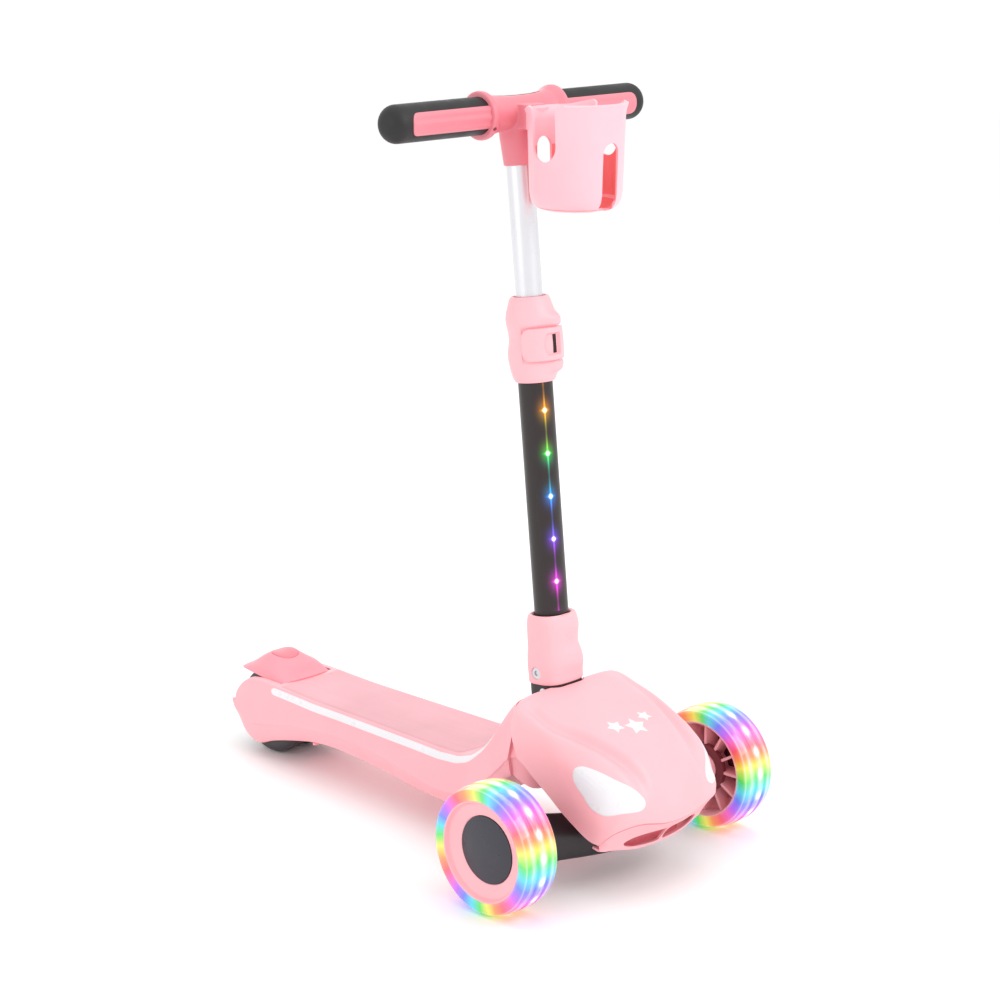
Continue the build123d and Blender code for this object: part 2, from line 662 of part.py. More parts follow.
def front_wheel():
    """Pieces of the left front wheel about its own centre."""
    bearings = bearing_pair(4, 11, (-14, 1), 7)
    return {"tyre": [front_tyre()], "hub": [front_hub()], "bearings": bearings,
            "hub_cap": [hub_cap()], "light_ring": [light_ring()]}


def rear_tyre():
    return tyre(REAR_RADIUS, REAR_WIDTH, 31.5, 8.0, 5.0)


def rear_hub():
    half = REAR_WIDTH / 2
    hub = cross_pipe(28, 31.48, -half + 1, half - 1) + cross_pipe(6, 14, -half + 1, half - 1)
    hub += cross_pipe(13, 29, -2, 2)
    hub += [Rot(0, 60 * i, 0) * block((12, -half + 3, -1.5), (29, half - 3, 1.5)) for i in range(6)]
    for start in (-half, half - 7.5):
        hub -= cross_rod(11, start, start + 7.5)
    return hub


def rear_wheel():
    half = REAR_WIDTH / 2
    return {"tyre": [rear_tyre()], "hub": [rear_hub()],
            "bearings": bearing_pair(5, 11, (-half + 0.5, half - 7.5), 7)}


def rear_axle():
    shaft = cross_rod(5, -44, 44)
    spacers = cross_rod(7.5, -2.6, 2.6) + cross_rod(7.5, 30.2, 32.3) + cross_rod(7.5, -32.3, -30.2)
    return Pos(*REAR_AXLE) * (shaft + spacers)


def rear_axle_nuts():
    """Nuts in the pockets in the outer faces of the deck's arms."""
    return both_sides(Pos(*REAR_AXLE) * cross_pipe(5 + SEATED, 7, AXLE_POCKET + 0.1, AXLE_POCKET + 4.6))


def rear_axle_caps():
    """Plastic plugs that close the pockets, a little below the arms' faces."""
    plug = Pos(*REAR_AXLE) * cross_rod(POCKET_RADIUS - 0.05, 44.5, 60)
    return both_sides(plug & deck_loft(0.8, 0))


# ---------------------------------------------------------------- brake
def brake_pedal():
    """Moulded fender over the rear wheels, hinged on two short pins at its front corners."""
    levels = [(-430, 27, 81, 88), (-440, 31.6, 80, 95), (-455, 33.8, 80, 99), (-474, 33.8, 79, 98.5),
              (-490, 32, 81, 92), (-497, 28, 81, 86)]
    faces = []
    for x, half, low, high in levels:
        points = [(0, high), (half * 0.6, high - 0.5), (half * 0.9, high - 2.2), (half, (low + high) / 2),
                  (half, low + 1.2), (half * 0.96, low)]
        faces.append(hull_section(x, points))
    body = loft(faces)
    ear = Pos(*BRAKE_PIVOT) * (cross_rod(4.6, 30.8, 34) + block((-22, 30.8, 0), (4.6, 33.8, 6)))
    body += both_sides(ear)
    body -= Pos(-WHEELBASE, 0, REAR_RADIUS) * cross_rod(REAR_RADIUS + BRAKE_ROOM, -30.6, 30.6)
    body -= Pos(*BRAKE_PIVOT) * cross_rod(2.5 + RUNNING, -40, 40)
    return body - brake_pad_body(0.0)


def brake_pad_body(shrink):
    oval = scale(Circle(1), by=(15 - shrink, 19 - shrink, 1))
    return Pos(-462, 0, 97.2) * extrude(oval, 2.4)


def brake_pad():
    return brake_pad_body(0.2)


def brake_shoe():
    """Curved steel plate under the pedal that meets the tyres."""
    shoe = cross_pipe(REAR_RADIUS + BRAKE_GAP, REAR_RADIUS + BRAKE_ROOM - SEATED, -24, 24)
    return Pos(-WHEELBASE, 0, REAR_RADIUS) * (shoe & slab([(0, 0), (-30, 90), (8, 90)], -24, 24))


def brake_pins():
    return both_sides(Pos(*BRAKE_PIVOT) * cross_rod(2.5, 30.9, 42.4))


def brake_springs():
    """Return springs wound on the pins, drawn as their closed outer shape."""
    return both_sides(Pos(*BRAKE_PIVOT) * cross_pipe(2.6, 3.3, 34.7, 38.6))


# ---------------------------------------------------------------- everything, written out
def write_wheel(pieces, names, place, side):
    for key, solids in pieces.items():
        shapes = [place * (solid if side > 0 else mirrored(solid)) for solid in solids]
        write(f"{names}_{key}", *shapes)


def main():
    os.makedirs("parts", exist_ok=True)
    write("deck_shell", deck_shell())
    write("deck_base", deck_base())
    write("deck_mat", deck_mat())
    write("side_stripes", *side_stripes())
    write("deck_screws", *deck_screws())
    write("front_housing", front_housing())
    write("cowl", cowl())
    write("bumper_grille", bumper_grille())
    write("headlight_left", headlight(1))
    write("headlight_right", headlight(-1))

    write("hinge_base", hinge_base())
    write("hinge_base_screws", *side_screws(4.5, 8, 23, 5))
    write("column_knuckle", column_knuckle())
    write("fold_pin", fold_pin())
    write("lock_sleeve", lock_sleeve())
    write("sleeve_screws", *side_screws(5.5, 26, 23, -2))

    write("outer_tube", outer_tube())
    write("led_strip", led_strip())
    write("leds", *leds())
    write("tube_bush", tube_bush())
    write("clamp_collar", clamp_collar())
    write("lever_pin", lever_pin())
    write("clamp_lever", clamp_lever())

    write("inner_tube", inner_tube())
    write("t_head", t_head())
    write("handlebar", handlebar())
    for name, side in (("left", 1), ("right", -1)):
        write(f"grip_{name}", grip(side))
        write(f"grip_inlay_{name}", inlay(side))
    write("cup_holder", cup_holder())
    write("cup_screw", cup_screws())

    write("truck_beam", truck_beam())
    write("kingpin", kingpin())
    write("kingpin_nut", kingpin_nut())
    write("steering_bushes", *steering_bushes())
    write("front_axles", *front_axles())
    for name, side in (("left", 1), ("right", -1)):
        write_wheel(front_wheel(), f"front_{name}", Pos(0, side * HALF_PITCH, FRONT_RADIUS), side)
        write_wheel(rear_wheel(), f"rear_{name}", Pos(-WHEELBASE, side * REAR_OFFSET, REAR_RADIUS), side)
    write("rear_axle", rear_axle(), *rear_axle_nuts())
    write("rear_axle_caps", *rear_axle_caps())

    write("brake_pedal", brake_pedal())
    write("brake_pad", brake_pad())
    write("brake_shoe", brake_shoe())
    write("brake_pins", *brake_pins())
    write("brake_springs", *brake_springs())


main()
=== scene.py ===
import json
import math

import bmesh
import bpy
import numpy as np
from mathutils import Matrix, Vector
from mathutils.bvhtree import BVHTree


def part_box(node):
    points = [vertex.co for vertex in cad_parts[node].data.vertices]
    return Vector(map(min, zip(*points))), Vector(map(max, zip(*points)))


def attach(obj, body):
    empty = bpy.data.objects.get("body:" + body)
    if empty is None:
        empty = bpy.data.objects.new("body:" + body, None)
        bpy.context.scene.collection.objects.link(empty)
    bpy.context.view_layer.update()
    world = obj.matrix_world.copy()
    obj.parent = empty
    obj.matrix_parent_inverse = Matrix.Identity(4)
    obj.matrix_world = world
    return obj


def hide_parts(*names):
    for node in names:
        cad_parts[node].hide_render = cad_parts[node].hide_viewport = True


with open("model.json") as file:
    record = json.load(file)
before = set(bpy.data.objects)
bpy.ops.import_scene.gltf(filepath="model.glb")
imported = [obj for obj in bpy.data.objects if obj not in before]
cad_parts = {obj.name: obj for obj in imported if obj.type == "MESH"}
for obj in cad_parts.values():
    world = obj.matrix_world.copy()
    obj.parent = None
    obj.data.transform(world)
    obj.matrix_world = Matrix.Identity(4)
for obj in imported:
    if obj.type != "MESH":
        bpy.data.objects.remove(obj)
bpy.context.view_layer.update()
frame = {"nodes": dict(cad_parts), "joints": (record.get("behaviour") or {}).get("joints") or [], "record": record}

# Looks of the kick scooter.  Sizes are millimetres in the frame each piece is drawn in, and MM takes
# them to metres.  The deck frame has its origin on the ground below the front axle, +X forward and
# +Y to the rider's left.  The column frame has its origin at the column's foot and its Z up the
# column.  The bar frame is upright on the middle of the handlebar.
MM = 0.001

JOINTS = {joint["name"]: joint for joint in frame["joints"]}
SLOTS = {part["node"]: part["material_slot"] for part in frame["record"]["subparts"]}


def side_name(side):
    return "left" if side > 0 else "right"


def middle(node):
    low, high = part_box(node)
    return (low + high) / 2


PIN_HEIGHT = 36.0
UP = Vector(JOINTS["stem_height"]["axis"]).normalized()
AHEAD = Vector((UP.z, 0, -UP.x))
FOOT = Vector(JOINTS["column_fold"]["pos_m"]) - UP * PIN_HEIGHT * MM
DECK = Matrix.Translation((middle("front_axles").x, 0, 0))
COLUMN = Matrix.Translation(FOOT) @ Matrix((AHEAD, (0, 1, 0), UP)).transposed().to_4x4()
BAR = Matrix.Translation(middle("handlebar"))
CUP = Matrix.Translation((middle("cup_holder").x, 0, middle("handlebar").z))


# -------- curves and grids
def spline(points, steps):
    """Smooth curve through the given points, with steps samples to each stretch."""
    p = np.asarray(points, float)
    p = np.vstack([2 * p[0] - p[1], p, 2 * p[-1] - p[-2]])
    t = np.linspace(0, 1, steps, endpoint=False)[:, None]
    curve = []
    for a, b, c, d in zip(p, p[1:], p[2:], p[3:]):
        k0, k1, k2 = [max(np.linalg.norm(v) ** 0.5, 1e-6) for v in (b - a, c - b, d - c)]
        start = k1 * ((b - a) / k0 - (c - a) / (k0 + k1) + (c - b) / k1)
        end = k1 * ((c - b) / k1 - (d - b) / (k1 + k2) + (d - c) / k2)
        curve.append((2 * t**3 - 3 * t**2 + 1) * b + (t**3 - 2 * t**2 + t) * start
                     + (3 * t**2 - 2 * t**3) * c + (t**3 - t**2) * end)
    return np.vstack(curve + [p[-2:-1]])


def loop(points, steps):
    """Smooth closed curve through the given points."""
    n = len(points)
    wide = spline(list(points[-3:]) + list(points) + list(points[:3]), steps)
    return wide[3 * steps:(3 + n) * steps]


def rounded(points, radius, steps=4):
    """Polyline with every inner corner rounded."""
    p = np.asarray(points, float)
    out = [p[0]]
    for a, b, c in zip(p, p[1:], p[2:]):
        back, on = a - b, c - b
        reach = min(radius, np.linalg.norm(back) / 2.05, np.linalg.norm(on) / 2.05)
        start, end = b + back / np.linalg.norm(back) * reach, b + on / np.linalg.norm(on) * reach
        for t in np.linspace(0, 1, steps + 1):
            out.append((1 - t) ** 2 * start + 2 * t * (1 - t) * b + t * t * end)
    return np.array(out + [p[-1]])


def patch(rows, across, along):
    """Dense grid of points through rows of control points."""
    dense = np.array([spline(row, across) for row in rows])
    return np.stack([spline(dense[:, k], along) for k in range(dense.shape[1])], axis=1)


def grid_faces(rows, cols, wrap_rows=False, wrap_cols=False):
    faces = []
    for i in range(rows - (not wrap_rows)):
        a, b = i * cols, (i + 1) % rows * cols
        for j in range(cols - (not wrap_cols)):
            k = (j + 1) % cols
            faces.append((a + j, a + k, b + k, b + j))
    return faces


def grid(points, wrap_rows=False, wrap_cols=False):
    """(points, faces) of a grid of shape (rows, columns, 3)."""
    rows, cols = points.shape[:2]
    return points.reshape(-1, 3), grid_faces(rows, cols, wrap_rows, wrap_cols)


def mirrored_rows(rows):
    """Half rows, from the centre plane out to +Y, made whole."""
    return [[(x, -y, z) for x, y, z in reversed(row[1:])] + list(row) for row in rows]


def around(r, a, h):
    """Point at a radius, an angle and a height."""
    return (r * math.cos(a), r * math.sin(a), h)


def lathe(profile, steps, axis="Z", closed=True):
    """Grid turned from (radius, height) points.  About Y the angle starts at the top."""
    angles = np.linspace(0, 2 * math.pi, steps, endpoint=False)
    rows = []
    for a in angles:
        ca, sa = math.cos(a), math.sin(a)
        rows.append([(r * ca, r * sa, h) if axis == "Z" else (r * sa, h, r * ca) for r, h in profile])
    return grid(np.array(rows), wrap_rows=True, wrap_cols=closed)


def joined(*parts):
    """Several (points, faces) as one."""
    points, faces = [], []
    for some, more in parts:
        faces += [tuple(k + len(points) for k in face) for face in more]
        points += [tuple(p) for p in some]
    return points, faces


def box(low, high):
    points = [(x, y, z) for x in (low[0], high[0]) for y in (low[1], high[1]) for z in (low[2], high[2])]
    return points, [(0, 1, 3, 2), (4, 6, 7, 5), (0, 4, 5, 1), (2, 3, 7, 6), (0, 2, 6, 4), (1, 5, 7, 3)]


def prism(outline, low, high, axis):
    """Outline in the plane across an axis, with thickness along it."""
    def put(a, b, h):
        return {"X": (h, a, b), "Y": (a, h, b), "Z": (a, b, h)}[axis]
    n = len(outline)
    points = [put(a, b, low) for a, b in outline] + [put(a, b, high) for a, b in outline]
    sides = [(k, (k + 1) % n, n + (k + 1) % n, n + k) for k in range(n)]
    return points, sides + [tuple(range(n)), tuple(range(2 * n - 1, n - 1, -1))]


# -------- pieces
def make(name, shape, base, outward=None):
    """Object of a (points, faces) shape.  Open sheets are turned to face away from outward."""
    points, faces = shape
    mesh = bpy.data.meshes.new(name)
    mesh.from_pydata((np.asarray(points, float) * MM).tolist(), [], faces)
    bm = bmesh.new()
    bm.from_mesh(mesh)
    if outward is None:
        bmesh.ops.recalc_face_normals(bm, faces=bm.faces)
    else:
        spot = Vector(outward) * MM
        if sum((f.calc_center_median() - spot).dot(f.normal) * f.calc_area() for f in bm.faces) < 0:
            bmesh.ops.reverse_faces(bm, faces=bm.faces)
    for face in bm.faces:
        face.smooth = True
    bm.to_mesh(mesh)
    bm.free()
    obj = bpy.data.objects.new(name, mesh)
    bpy.context.scene.collection.objects.link(obj)
    obj.matrix_world = base
    return obj


def thicken(obj, wall, offset=-1.0):
    mod = obj.modifiers.new("wall", "SOLIDIFY")
    mod.thickness = wall * MM
    mod.offset = offset
    mod.use_even_offset = True
    return obj


def soften(obj, width, angle=38, segments=2):
    mod = obj.modifiers.new("edges", "BEVEL")
    mod.width = width * MM
    mod.segments = segments
    mod.limit_method = "ANGLE"
    mod.angle_limit = math.radians(angle)
    mod.harden_normals = False
    return obj


def settle(obj):
    """Makes what the modifiers give the object's own mesh."""
    deps = bpy.context.evaluated_depsgraph_get()
    mesh = bpy.data.meshes.new_from_object(obj.evaluated_get(deps))
    obj.modifiers.clear()
    obj.data = mesh
    return obj


def carve(obj, *shapes):
    """Cuts closed shapes, drawn in the same frame, out of the object."""
    for shape in shapes:
        tool = make("cutter", shape, obj.matrix_world.copy())
        mod = obj.modifiers.new("cut", "BOOLEAN")
        mod.operation = "DIFFERENCE"
        mod.solver = "EXACT"
        mod.object = tool
        bpy.context.view_layer.update()
        settle(obj)
        bpy.data.objects.remove(tool)
    return obj


def crisp(obj, angle=35):
    """Edges that turn by more than the angle are shaded sharp."""
    bm = bmesh.new()
    bm.from_mesh(obj.data)
    for face in bm.faces:
        face.smooth = True
    for edge in bm.edges:
        edge.smooth = len(edge.link_faces) == 2 and edge.calc_face_angle(0) < math.radians(angle)
    bm.to_mesh(obj.data)
    bm.free()
    return obj


def dress(obj, body, material, slot, *nodes):
    """Gives a finished object its material, its body and the CAD nodes it stands for."""
    obj.data.materials.clear()
    obj.data.materials.append(material)
    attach(obj, body)
    if nodes:
        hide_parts(*nodes)
    return obj


def skin(obj):
    """Search tree of an object's surface, in the object's own frame."""
    return BVHTree.FromObject(obj, bpy.context.evaluated_depsgraph_get())


def drop(tree, spot, way, lift):
    """Where a line from a spot meets the surface, raised by lift."""
    hit, normal, *_ = tree.ray_cast(Vector(spot) * MM, Vector(way).normalized())
    if hit is None:
        hit, normal, *_ = tree.find_nearest(Vector(spot) * MM)
    return (hit + normal * lift * MM) / MM


def lay_on(tree, outline, origin, facing, lift, rings=9, sink=0.5):
    """Patch inside a closed outline, drawn in a plane that faces `facing`, laid on a surface."""
    n = Vector(facing).normalized()
    v = (Vector((0, 0, 1)) - n * n.z).normalized() if abs(n.z) < 0.9 else Vector((1, 0, 0))
    u = v.cross(n)
    flat = np.asarray(outline, float)
    heart = flat.mean(axis=0)
    shares = list(np.linspace(0, 1, rings)[1:-1]) + [0.965, 1.0]
    points = []
    for share, up in [(0.0, lift)] + [(s, lift) for s in shares[:-1]] + [(1.0, -sink)]:
        for a, b in (flat[:1] if share == 0 else flat):
            a, b = heart + share * (np.array((a, b)) - heart)
            points.append(drop(tree, Vector(origin) + u * a + v * b + n * 60, -n, up))
    count = len(flat)
    faces = [(0, 1 + k, 1 + (k + 1) % count) for k in range(count)]
    for ring in range(len(shares) - 1):
        a, b = 1 + ring * count, 1 + (ring + 1) * count
        faces += [(a + k, b + k, b + (k + 1) % count, a + (k + 1) % count) for k in range(count)]
    return points, faces


# -------- materials
def rgb(red, green, blue):
    """Linear colour from display values of 0 to 255."""
    def linear(c):
        c /= 255
        return c / 12.92 if c < 0.04045 else ((c + 0.055) / 1.055) ** 2.4
    return (linear(red), linear(green), linear(blue), 1.0)


class Nodes:
    """Short names for building one material."""

    def __init__(self, name):
        self.material = bpy.data.materials.new(name)
        self.material.use_nodes = True
        self.tree = self.material.node_tree
        self.shader = self.tree.nodes["Principled BSDF"]

    def add(self, kind, **values):
        node = self.tree.nodes.new(kind)
        for key, value in values.items():
            setattr(node, key, value)
        return node

    def feed(self, socket, value):
        if isinstance(value, bpy.types.NodeSocket):
            self.tree.links.new(value, socket)
        else:
            socket.default_value = value

    def math(self, operation, *values):
        node = self.add("ShaderNodeMath", operation=operation)
        for socket, value in zip(node.inputs, values):
            self.feed(socket, value)
        return node.outputs[0]

    def times(self, a, b):
        return self.math("MULTIPLY", a, b)

    def plus(self, a, b):
        return self.math("ADD", a, b)

    def surface(self, name, value):
        self.feed(self.shader.inputs[name], value)

    def mix(self, share, a, b, blend="MIX"):
        node = self.add("ShaderNodeMix", data_type="RGBA", blend_type=blend)
        self.feed(node.inputs[0], share)
        self.feed(node.inputs[6], a)
        self.feed(node.inputs[7], b)
        return node.outputs[2]

    def place(self):
        if not hasattr(self, "coords"):
            self.coords = self.add("ShaderNodeTexCoord").outputs["Object"]
        return self.coords

    def noise(self, scale, detail=3.0, stretch=None):
        node = self.add("ShaderNodeTexNoise")
        node.inputs["Scale"].default_value = scale
        node.inputs["Detail"].default_value = detail
        where = self.place()
        if stretch:
            wide = self.add("ShaderNodeVectorMath", operation="MULTIPLY")
            self.feed(wide.inputs[0], where)
            wide.inputs[1].default_value = stretch
            where = wide.outputs[0]
        self.feed(node.inputs["Vector"], where)
        return node.outputs["Fac"]

    def span(self, value, low, high):
        node = self.add("ShaderNodeMapRange")
        self.feed(node.inputs["Value"], value)
        node.inputs["From Min"].default_value = 0.3
        node.inputs["From Max"].default_value = 0.7
        node.inputs["To Min"].default_value = low
        node.inputs["To Max"].default_value = high
        return node.outputs["Result"]

    def bump(self, height, strength, distance):
        node = self.add("ShaderNodeBump")
        node.inputs["Strength"].default_value = strength
        node.inputs["Distance"].default_value = distance * MM
        self.feed(node.inputs["Height"], height)
        return node.outputs["Normal"]

    def bell(self, value, width):
        """exp(-(value / width)^2)"""
        scaled = self.math("DIVIDE", value, width)
        return self.math("EXPONENT", self.times(self.times(scaled, scaled), -1.0))


def moulded(name, colour, tone=0.04, rough=(0.36, 0.46), grain=0.06, size=900.0, metal=0.0, coat=0.0,
            stretch=None):
    """Moulded, painted or metal finish: slight tone drift, uneven gloss and a fine grain."""
    n = Nodes(name)
    dark = tuple(c * (1 - tone) for c in colour[:3]) + (1.0,)
    light = tuple(min(1.0, c * (1 + tone)) for c in colour[:3]) + (1.0,)
    n.surface("Base Color", n.mix(n.span(n.noise(14.0), 0, 1), dark, light))
    n.surface("Roughness", n.span(n.noise(60.0, 4.0, stretch), *rough))
    n.surface("Normal", n.bump(n.noise(size, 2.0, stretch), grain, 0.2))
    n.surface("Metallic", metal)
    n.surface("Coat Weight", coat)
    n.surface("Coat Roughness", 0.12)
    return n.material


def ramp(n, value, stops, interpolation="LINEAR"):
    node = n.add("ShaderNodeValToRGB")
    node.color_ramp.interpolation = interpolation
    elements = node.color_ramp.elements
    while len(elements) < len(stops):
        elements.new(0.5)
    for element, (spot, colour) in zip(elements, stops):
        element.position = spot
        element.color = colour
    n.feed(node.inputs[0], value)
    return node.outputs[0]


def cup_plastic(name):
    """Translucent pink cup: pale outside; its inner wall and floor are painted coral red as painted shade for the
    inside of the cup.
    """
    n = Nodes(name)
    parts = n.add("ShaderNodeSeparateXYZ")
    n.feed(parts.inputs[0], n.place())
    square = n.plus(n.math("POWER", parts.outputs[0], 2.0), n.math("POWER", parts.outputs[1], 2.0))
    radius = n.math("SQRT", square)
    # Masks of the inner wall and the inner floor, which get the coral red painted shade.
    inside = n.times(n.math("LESS_THAN", radius, 40.0 * MM),
                     n.math("GREATER_THAN", parts.outputs[2], -70 * MM))
    floor = n.times(n.math("LESS_THAN", radius, 36 * MM),
                    n.math("GREATER_THAN", parts.outputs[2], -77.6 * MM))
    outer = n.mix(n.span(n.noise(14.0), 0, 1), rgb(252, 182, 192), rgb(255, 190, 200))
    # Coral red painted shade for the inside of the cup.
    inner = n.mix(n.span(n.noise(14.0), 0, 1), rgb(244, 126, 126), rgb(248, 136, 136))
    n.surface("Base Color", n.mix(n.math("MAXIMUM", inside, floor), outer, inner))
    n.surface("Roughness", n.span(n.noise(60.0, 4.0), 0.3, 0.4))
    n.surface("Normal", n.bump(n.noise(900.0, 2.0), 0.05, 0.2))
    return n.material


RAINBOW = [rgb(50, 225, 60), rgb(30, 215, 240), rgb(80, 110, 250), rgb(185, 70, 250), rgb(250, 70, 190),
           rgb(255, 60, 80), rgb(255, 140, 30), rgb(245, 235, 50), rgb(50, 225, 60)]


def lit_tyre(name):
    """Clear tyre lit from inside: the colours go four times round, with the lamps' hot spots, and pale lines along
    the ribs and at each side edge that are painted highlights.
    """
    n = Nodes(name)
    parts = n.add("ShaderNodeSeparateXYZ")
    n.feed(parts.inputs[0], n.place())
    turn = n.math("DIVIDE", n.math("ARCTAN2", parts.outputs[0], parts.outputs[2]), 2 * math.pi)
    wobble = n.times(n.math("SUBTRACT", n.noise(28.0, 2.0), 0.5), 0.05)
    hue = n.math("FRACT", n.plus(n.times(n.plus(turn, wobble), 4.0), 4.0))
    stops = [(k / 8, colour) for k, colour in enumerate(RAINBOW)]
    colour = ramp(n, hue, stops)
    spots = n.math("PINGPONG", n.times(n.plus(turn, 1.0), 17.0), 0.5)
    hot = n.times(n.bell(spots, 0.2), n.bell(parts.outputs[1], 3.4 * MM))
    # Pale lines along the ribs and at both side edges are painted highlights on the clear tyre; the hot spots
    # above are the lamps.
    ribs = n.plus(n.bell(n.math("SUBTRACT", n.math("ABSOLUTE", parts.outputs[1]), 12 * MM), 2.2 * MM),
                  n.bell(parts.outputs[1], 2.6 * MM))
    rib_highlight = n.times(ribs, n.span(n.noise(46.0, 3.0, (1.0, 5.0, 1.0)), 0.0, 0.7))
    rim = n.bell(n.math("SUBTRACT", n.math("ABSOLUTE", parts.outputs[1]), 18.8 * MM), 0.7 * MM)
    pale = n.plus(n.times(hot, 0.95), n.plus(rib_highlight, n.times(rim, 0.3)))
    shown = n.mix(n.math("MINIMUM", pale, 1.0), colour, (1.0, 1.0, 1.0, 1.0))
    n.surface("Base Color", n.mix(0.6, shown, (0.12, 0.12, 0.14, 1.0)))
    n.surface("Emission Color", shown)
    n.surface("Emission Strength", n.plus(n.times(hot, 0.5), 0.55))
    n.surface("Roughness", n.span(n.noise(90.0), 0.12, 0.2))
    n.surface("Normal", n.bump(n.noise(160.0, 3.0), 0.12, 0.3))
    n.surface("Coat Weight", 0.8)
    n.surface("Coat Roughness", 0.05)
    return n.material


LED_AZIMUTH = math.radians(-20.0)
LED_FIRST = 112.0
LED_STEP = 40.0
LED_COLOURS = [rgb(250, 60, 235), rgb(130, 80, 255), rgb(40, 150, 255), rgb(60, 240, 80), rgb(255, 165, 30)]


def lit_strip(name):
    """Dark lens with five lamps behind it, a halo round each and a thin line of light between them."""
    n = Nodes(name)
    parts = n.add("ShaderNodeSeparateXYZ")
    n.feed(parts.inputs[0], n.place())
    azimuth = n.math("SUBTRACT", n.math("ARCTAN2", parts.outputs[1], parts.outputs[0]), LED_AZIMUTH)
    aside = n.times(azimuth, 16.0 * MM)
    steps = n.math("DIVIDE", n.math("SUBTRACT", parts.outputs[2], LED_FIRST * MM), LED_STEP * MM)
    away = n.times(n.math("PINGPONG", n.plus(steps, 8.0), 0.5), LED_STEP * MM)
    colour = ramp(n, n.math("DIVIDE", n.plus(steps, 0.5), 5.0),
                  [(0.1 + 0.2 * k, c) for k, c in enumerate(LED_COLOURS)])
    line = n.times(n.bell(aside, 0.75 * MM), n.plus(n.bell(away, 11 * MM), 0.16))
    halo = n.times(n.bell(aside, 5.5 * MM), n.bell(away, 8.5 * MM))
    flare = n.times(n.bell(aside, 3.2 * MM), n.bell(away, 1.1 * MM))
    core = n.times(n.bell(aside, 1.5 * MM), n.bell(away, 1.7 * MM))
    power = n.plus(n.times(halo, 0.42), n.plus(line, n.plus(flare, n.times(core, 4.0))))
    n.surface("Emission Color", n.mix(n.math("MINIMUM", core, 1.0), colour, (1, 1, 1, 1)))
    n.surface("Emission Strength", n.times(power, 1.3))
    n.surface("Base Color", n.mix(n.span(n.noise(20.0), 0, 1), rgb(30, 18, 19), rgb(36, 23, 24)))
    n.surface("Roughness", n.span(n.noise(70.0), 0.34, 0.42))
    return n.material


PINK = moulded("pink_moulding", rgb(252, 180, 187))
DECK_PINK = moulded("deck_pink_moulding", rgb(252, 172, 180))
DEEP_PINK = moulded("deep_pink_moulding", rgb(224, 130, 142))
PEDAL_PINK = moulded("pedal_pink_moulding", rgb(246, 152, 163))
CUP_PINK = cup_plastic("cup_pink_moulding")
# Dark maroon painted shade for hollows: the hub wells, the holes in the T-head and the front light rings take it
# to stand for the shade inside them.
RECESS_SHADE = moulded("shaded_recess", rgb(120, 50, 58), rough=(0.5, 0.6))
MAT = moulded("foot_mat_rubber", rgb(222, 166, 174), tone=0.05, rough=(0.55, 0.7), grain=0.5, size=420.0,
              stretch=(0.25, 3.0, 1.0))
WHITE = moulded("white_inlay", rgb(228, 226, 229), tone=0.02, rough=(0.25, 0.35))
BLACK = moulded("black_moulding", rgb(38, 36, 40), tone=0.1, rough=(0.4, 0.52), grain=0.12)
GRIP = moulded("grip_rubber_black", rgb(24, 23, 25), tone=0.1, rough=(0.5, 0.62), grain=0.2, size=1200.0)
GLOSS_BLACK = moulded("cap_black", rgb(46, 46, 56), tone=0.08, rough=(0.26, 0.34))
# Near-black painted shade for narrow slots: the clamp's slot and the slot on top of the T-head are thin sheets in
# this colour standing for the shade inside them.
GAP_SHADE = moulded("gap_painted_shade", rgb(30, 14, 16), tone=0.1, rough=(0.7, 0.8))
TUBE = moulded("tube_paint", rgb(32, 20, 21), tone=0.08, rough=(0.3, 0.38), grain=0.05)
ALUMINIUM = moulded("satin_aluminium", rgb(228, 228, 232), tone=0.02, rough=(0.24, 0.36), grain=0.05,
                    metal=0.9, stretch=(1, 1, 0.05))
STEEL = moulded("plated_steel", rgb(200, 200, 204), tone=0.05, rough=(0.18, 0.3), metal=1.0)
REAR_TYRE = moulded("rear_tyre_black", rgb(60, 60, 62), tone=0.1, rough=(0.42, 0.55), grain=0.15)
REAR_HUB = moulded("rear_hub_grey", rgb(92, 92, 96), tone=0.08, rough=(0.45, 0.55))
LIT_TYRE = lit_tyre("lit_tyre_glow")
LIT_STRIP = lit_strip("lit_strip_glow")

SLOT_MATERIALS = {
    "pink_plastic": PINK, "deep_pink_plastic": DEEP_PINK, "mat_rubber": MAT, "white_plastic": WHITE,
    "black_plastic": BLACK, "black_gloss": GLOSS_BLACK, "grip_rubber": GRIP, "lit_tyre": LIT_TYRE,
    "rear_tyre": REAR_TYRE, "rear_hub_plastic": REAR_HUB, "steel": STEEL, "black_tube": TUBE,
    "lens": TUBE, "led": WHITE, "aluminium": ALUMINIUM,
}

# -------- deck
# (x, crown height, then half width and height of the shoulder, of the crease and of the base)
DECK_STATIONS = [
    (-502, 53, 34, 53, 41, 49, 40, 46),
    (-499, 60, 37, 59, 42, 46, 41, 41),
    (-490, 71, 38, 70, 45, 42, 42, 33),
    (-475, 79.6, 40, 79, 48, 38, 45, 20.5),
    (-457, 82.4, 41, 82.2, 50, 37, 46, 14),
    (-430, 82.3, 42, 82, 52, 42.5, 48, 23),
    (-400, 81, 42, 81, 54, 49, 49, 31),
    (-365, 80, 43, 80, 55, 54, 49, 38),
    (-330, 80, 43, 80, 55.5, 57, 50, 41),
    (-290, 80, 44, 80, 57, 57.5, 51, 40),
    (-250, 80, 45, 80, 59, 55.5, 53, 38),
    (-210, 80, 46, 80, 62, 51, 56, 35),
    (-175, 80.5, 47.5, 80, 65, 48, 59, 34),
    (-150, 83, 47.5, 82, 66.5, 48.5, 61, 35),
    (-133, 90, 47, 87.5, 67.5, 52, 62, 38),
    (-118, 103, 46.5, 98, 68.5, 59, 63, 45),
    (-105, 120, 47, 112, 69.5, 67, 65, 53),
    (-92, 138, 48, 130, 70.5, 78, 66.5, 63),
    (-76, 153, 52, 148, 72, 92, 68, 76),
    (-60, 162, 60, 160, 73, 108, 69, 90),
]


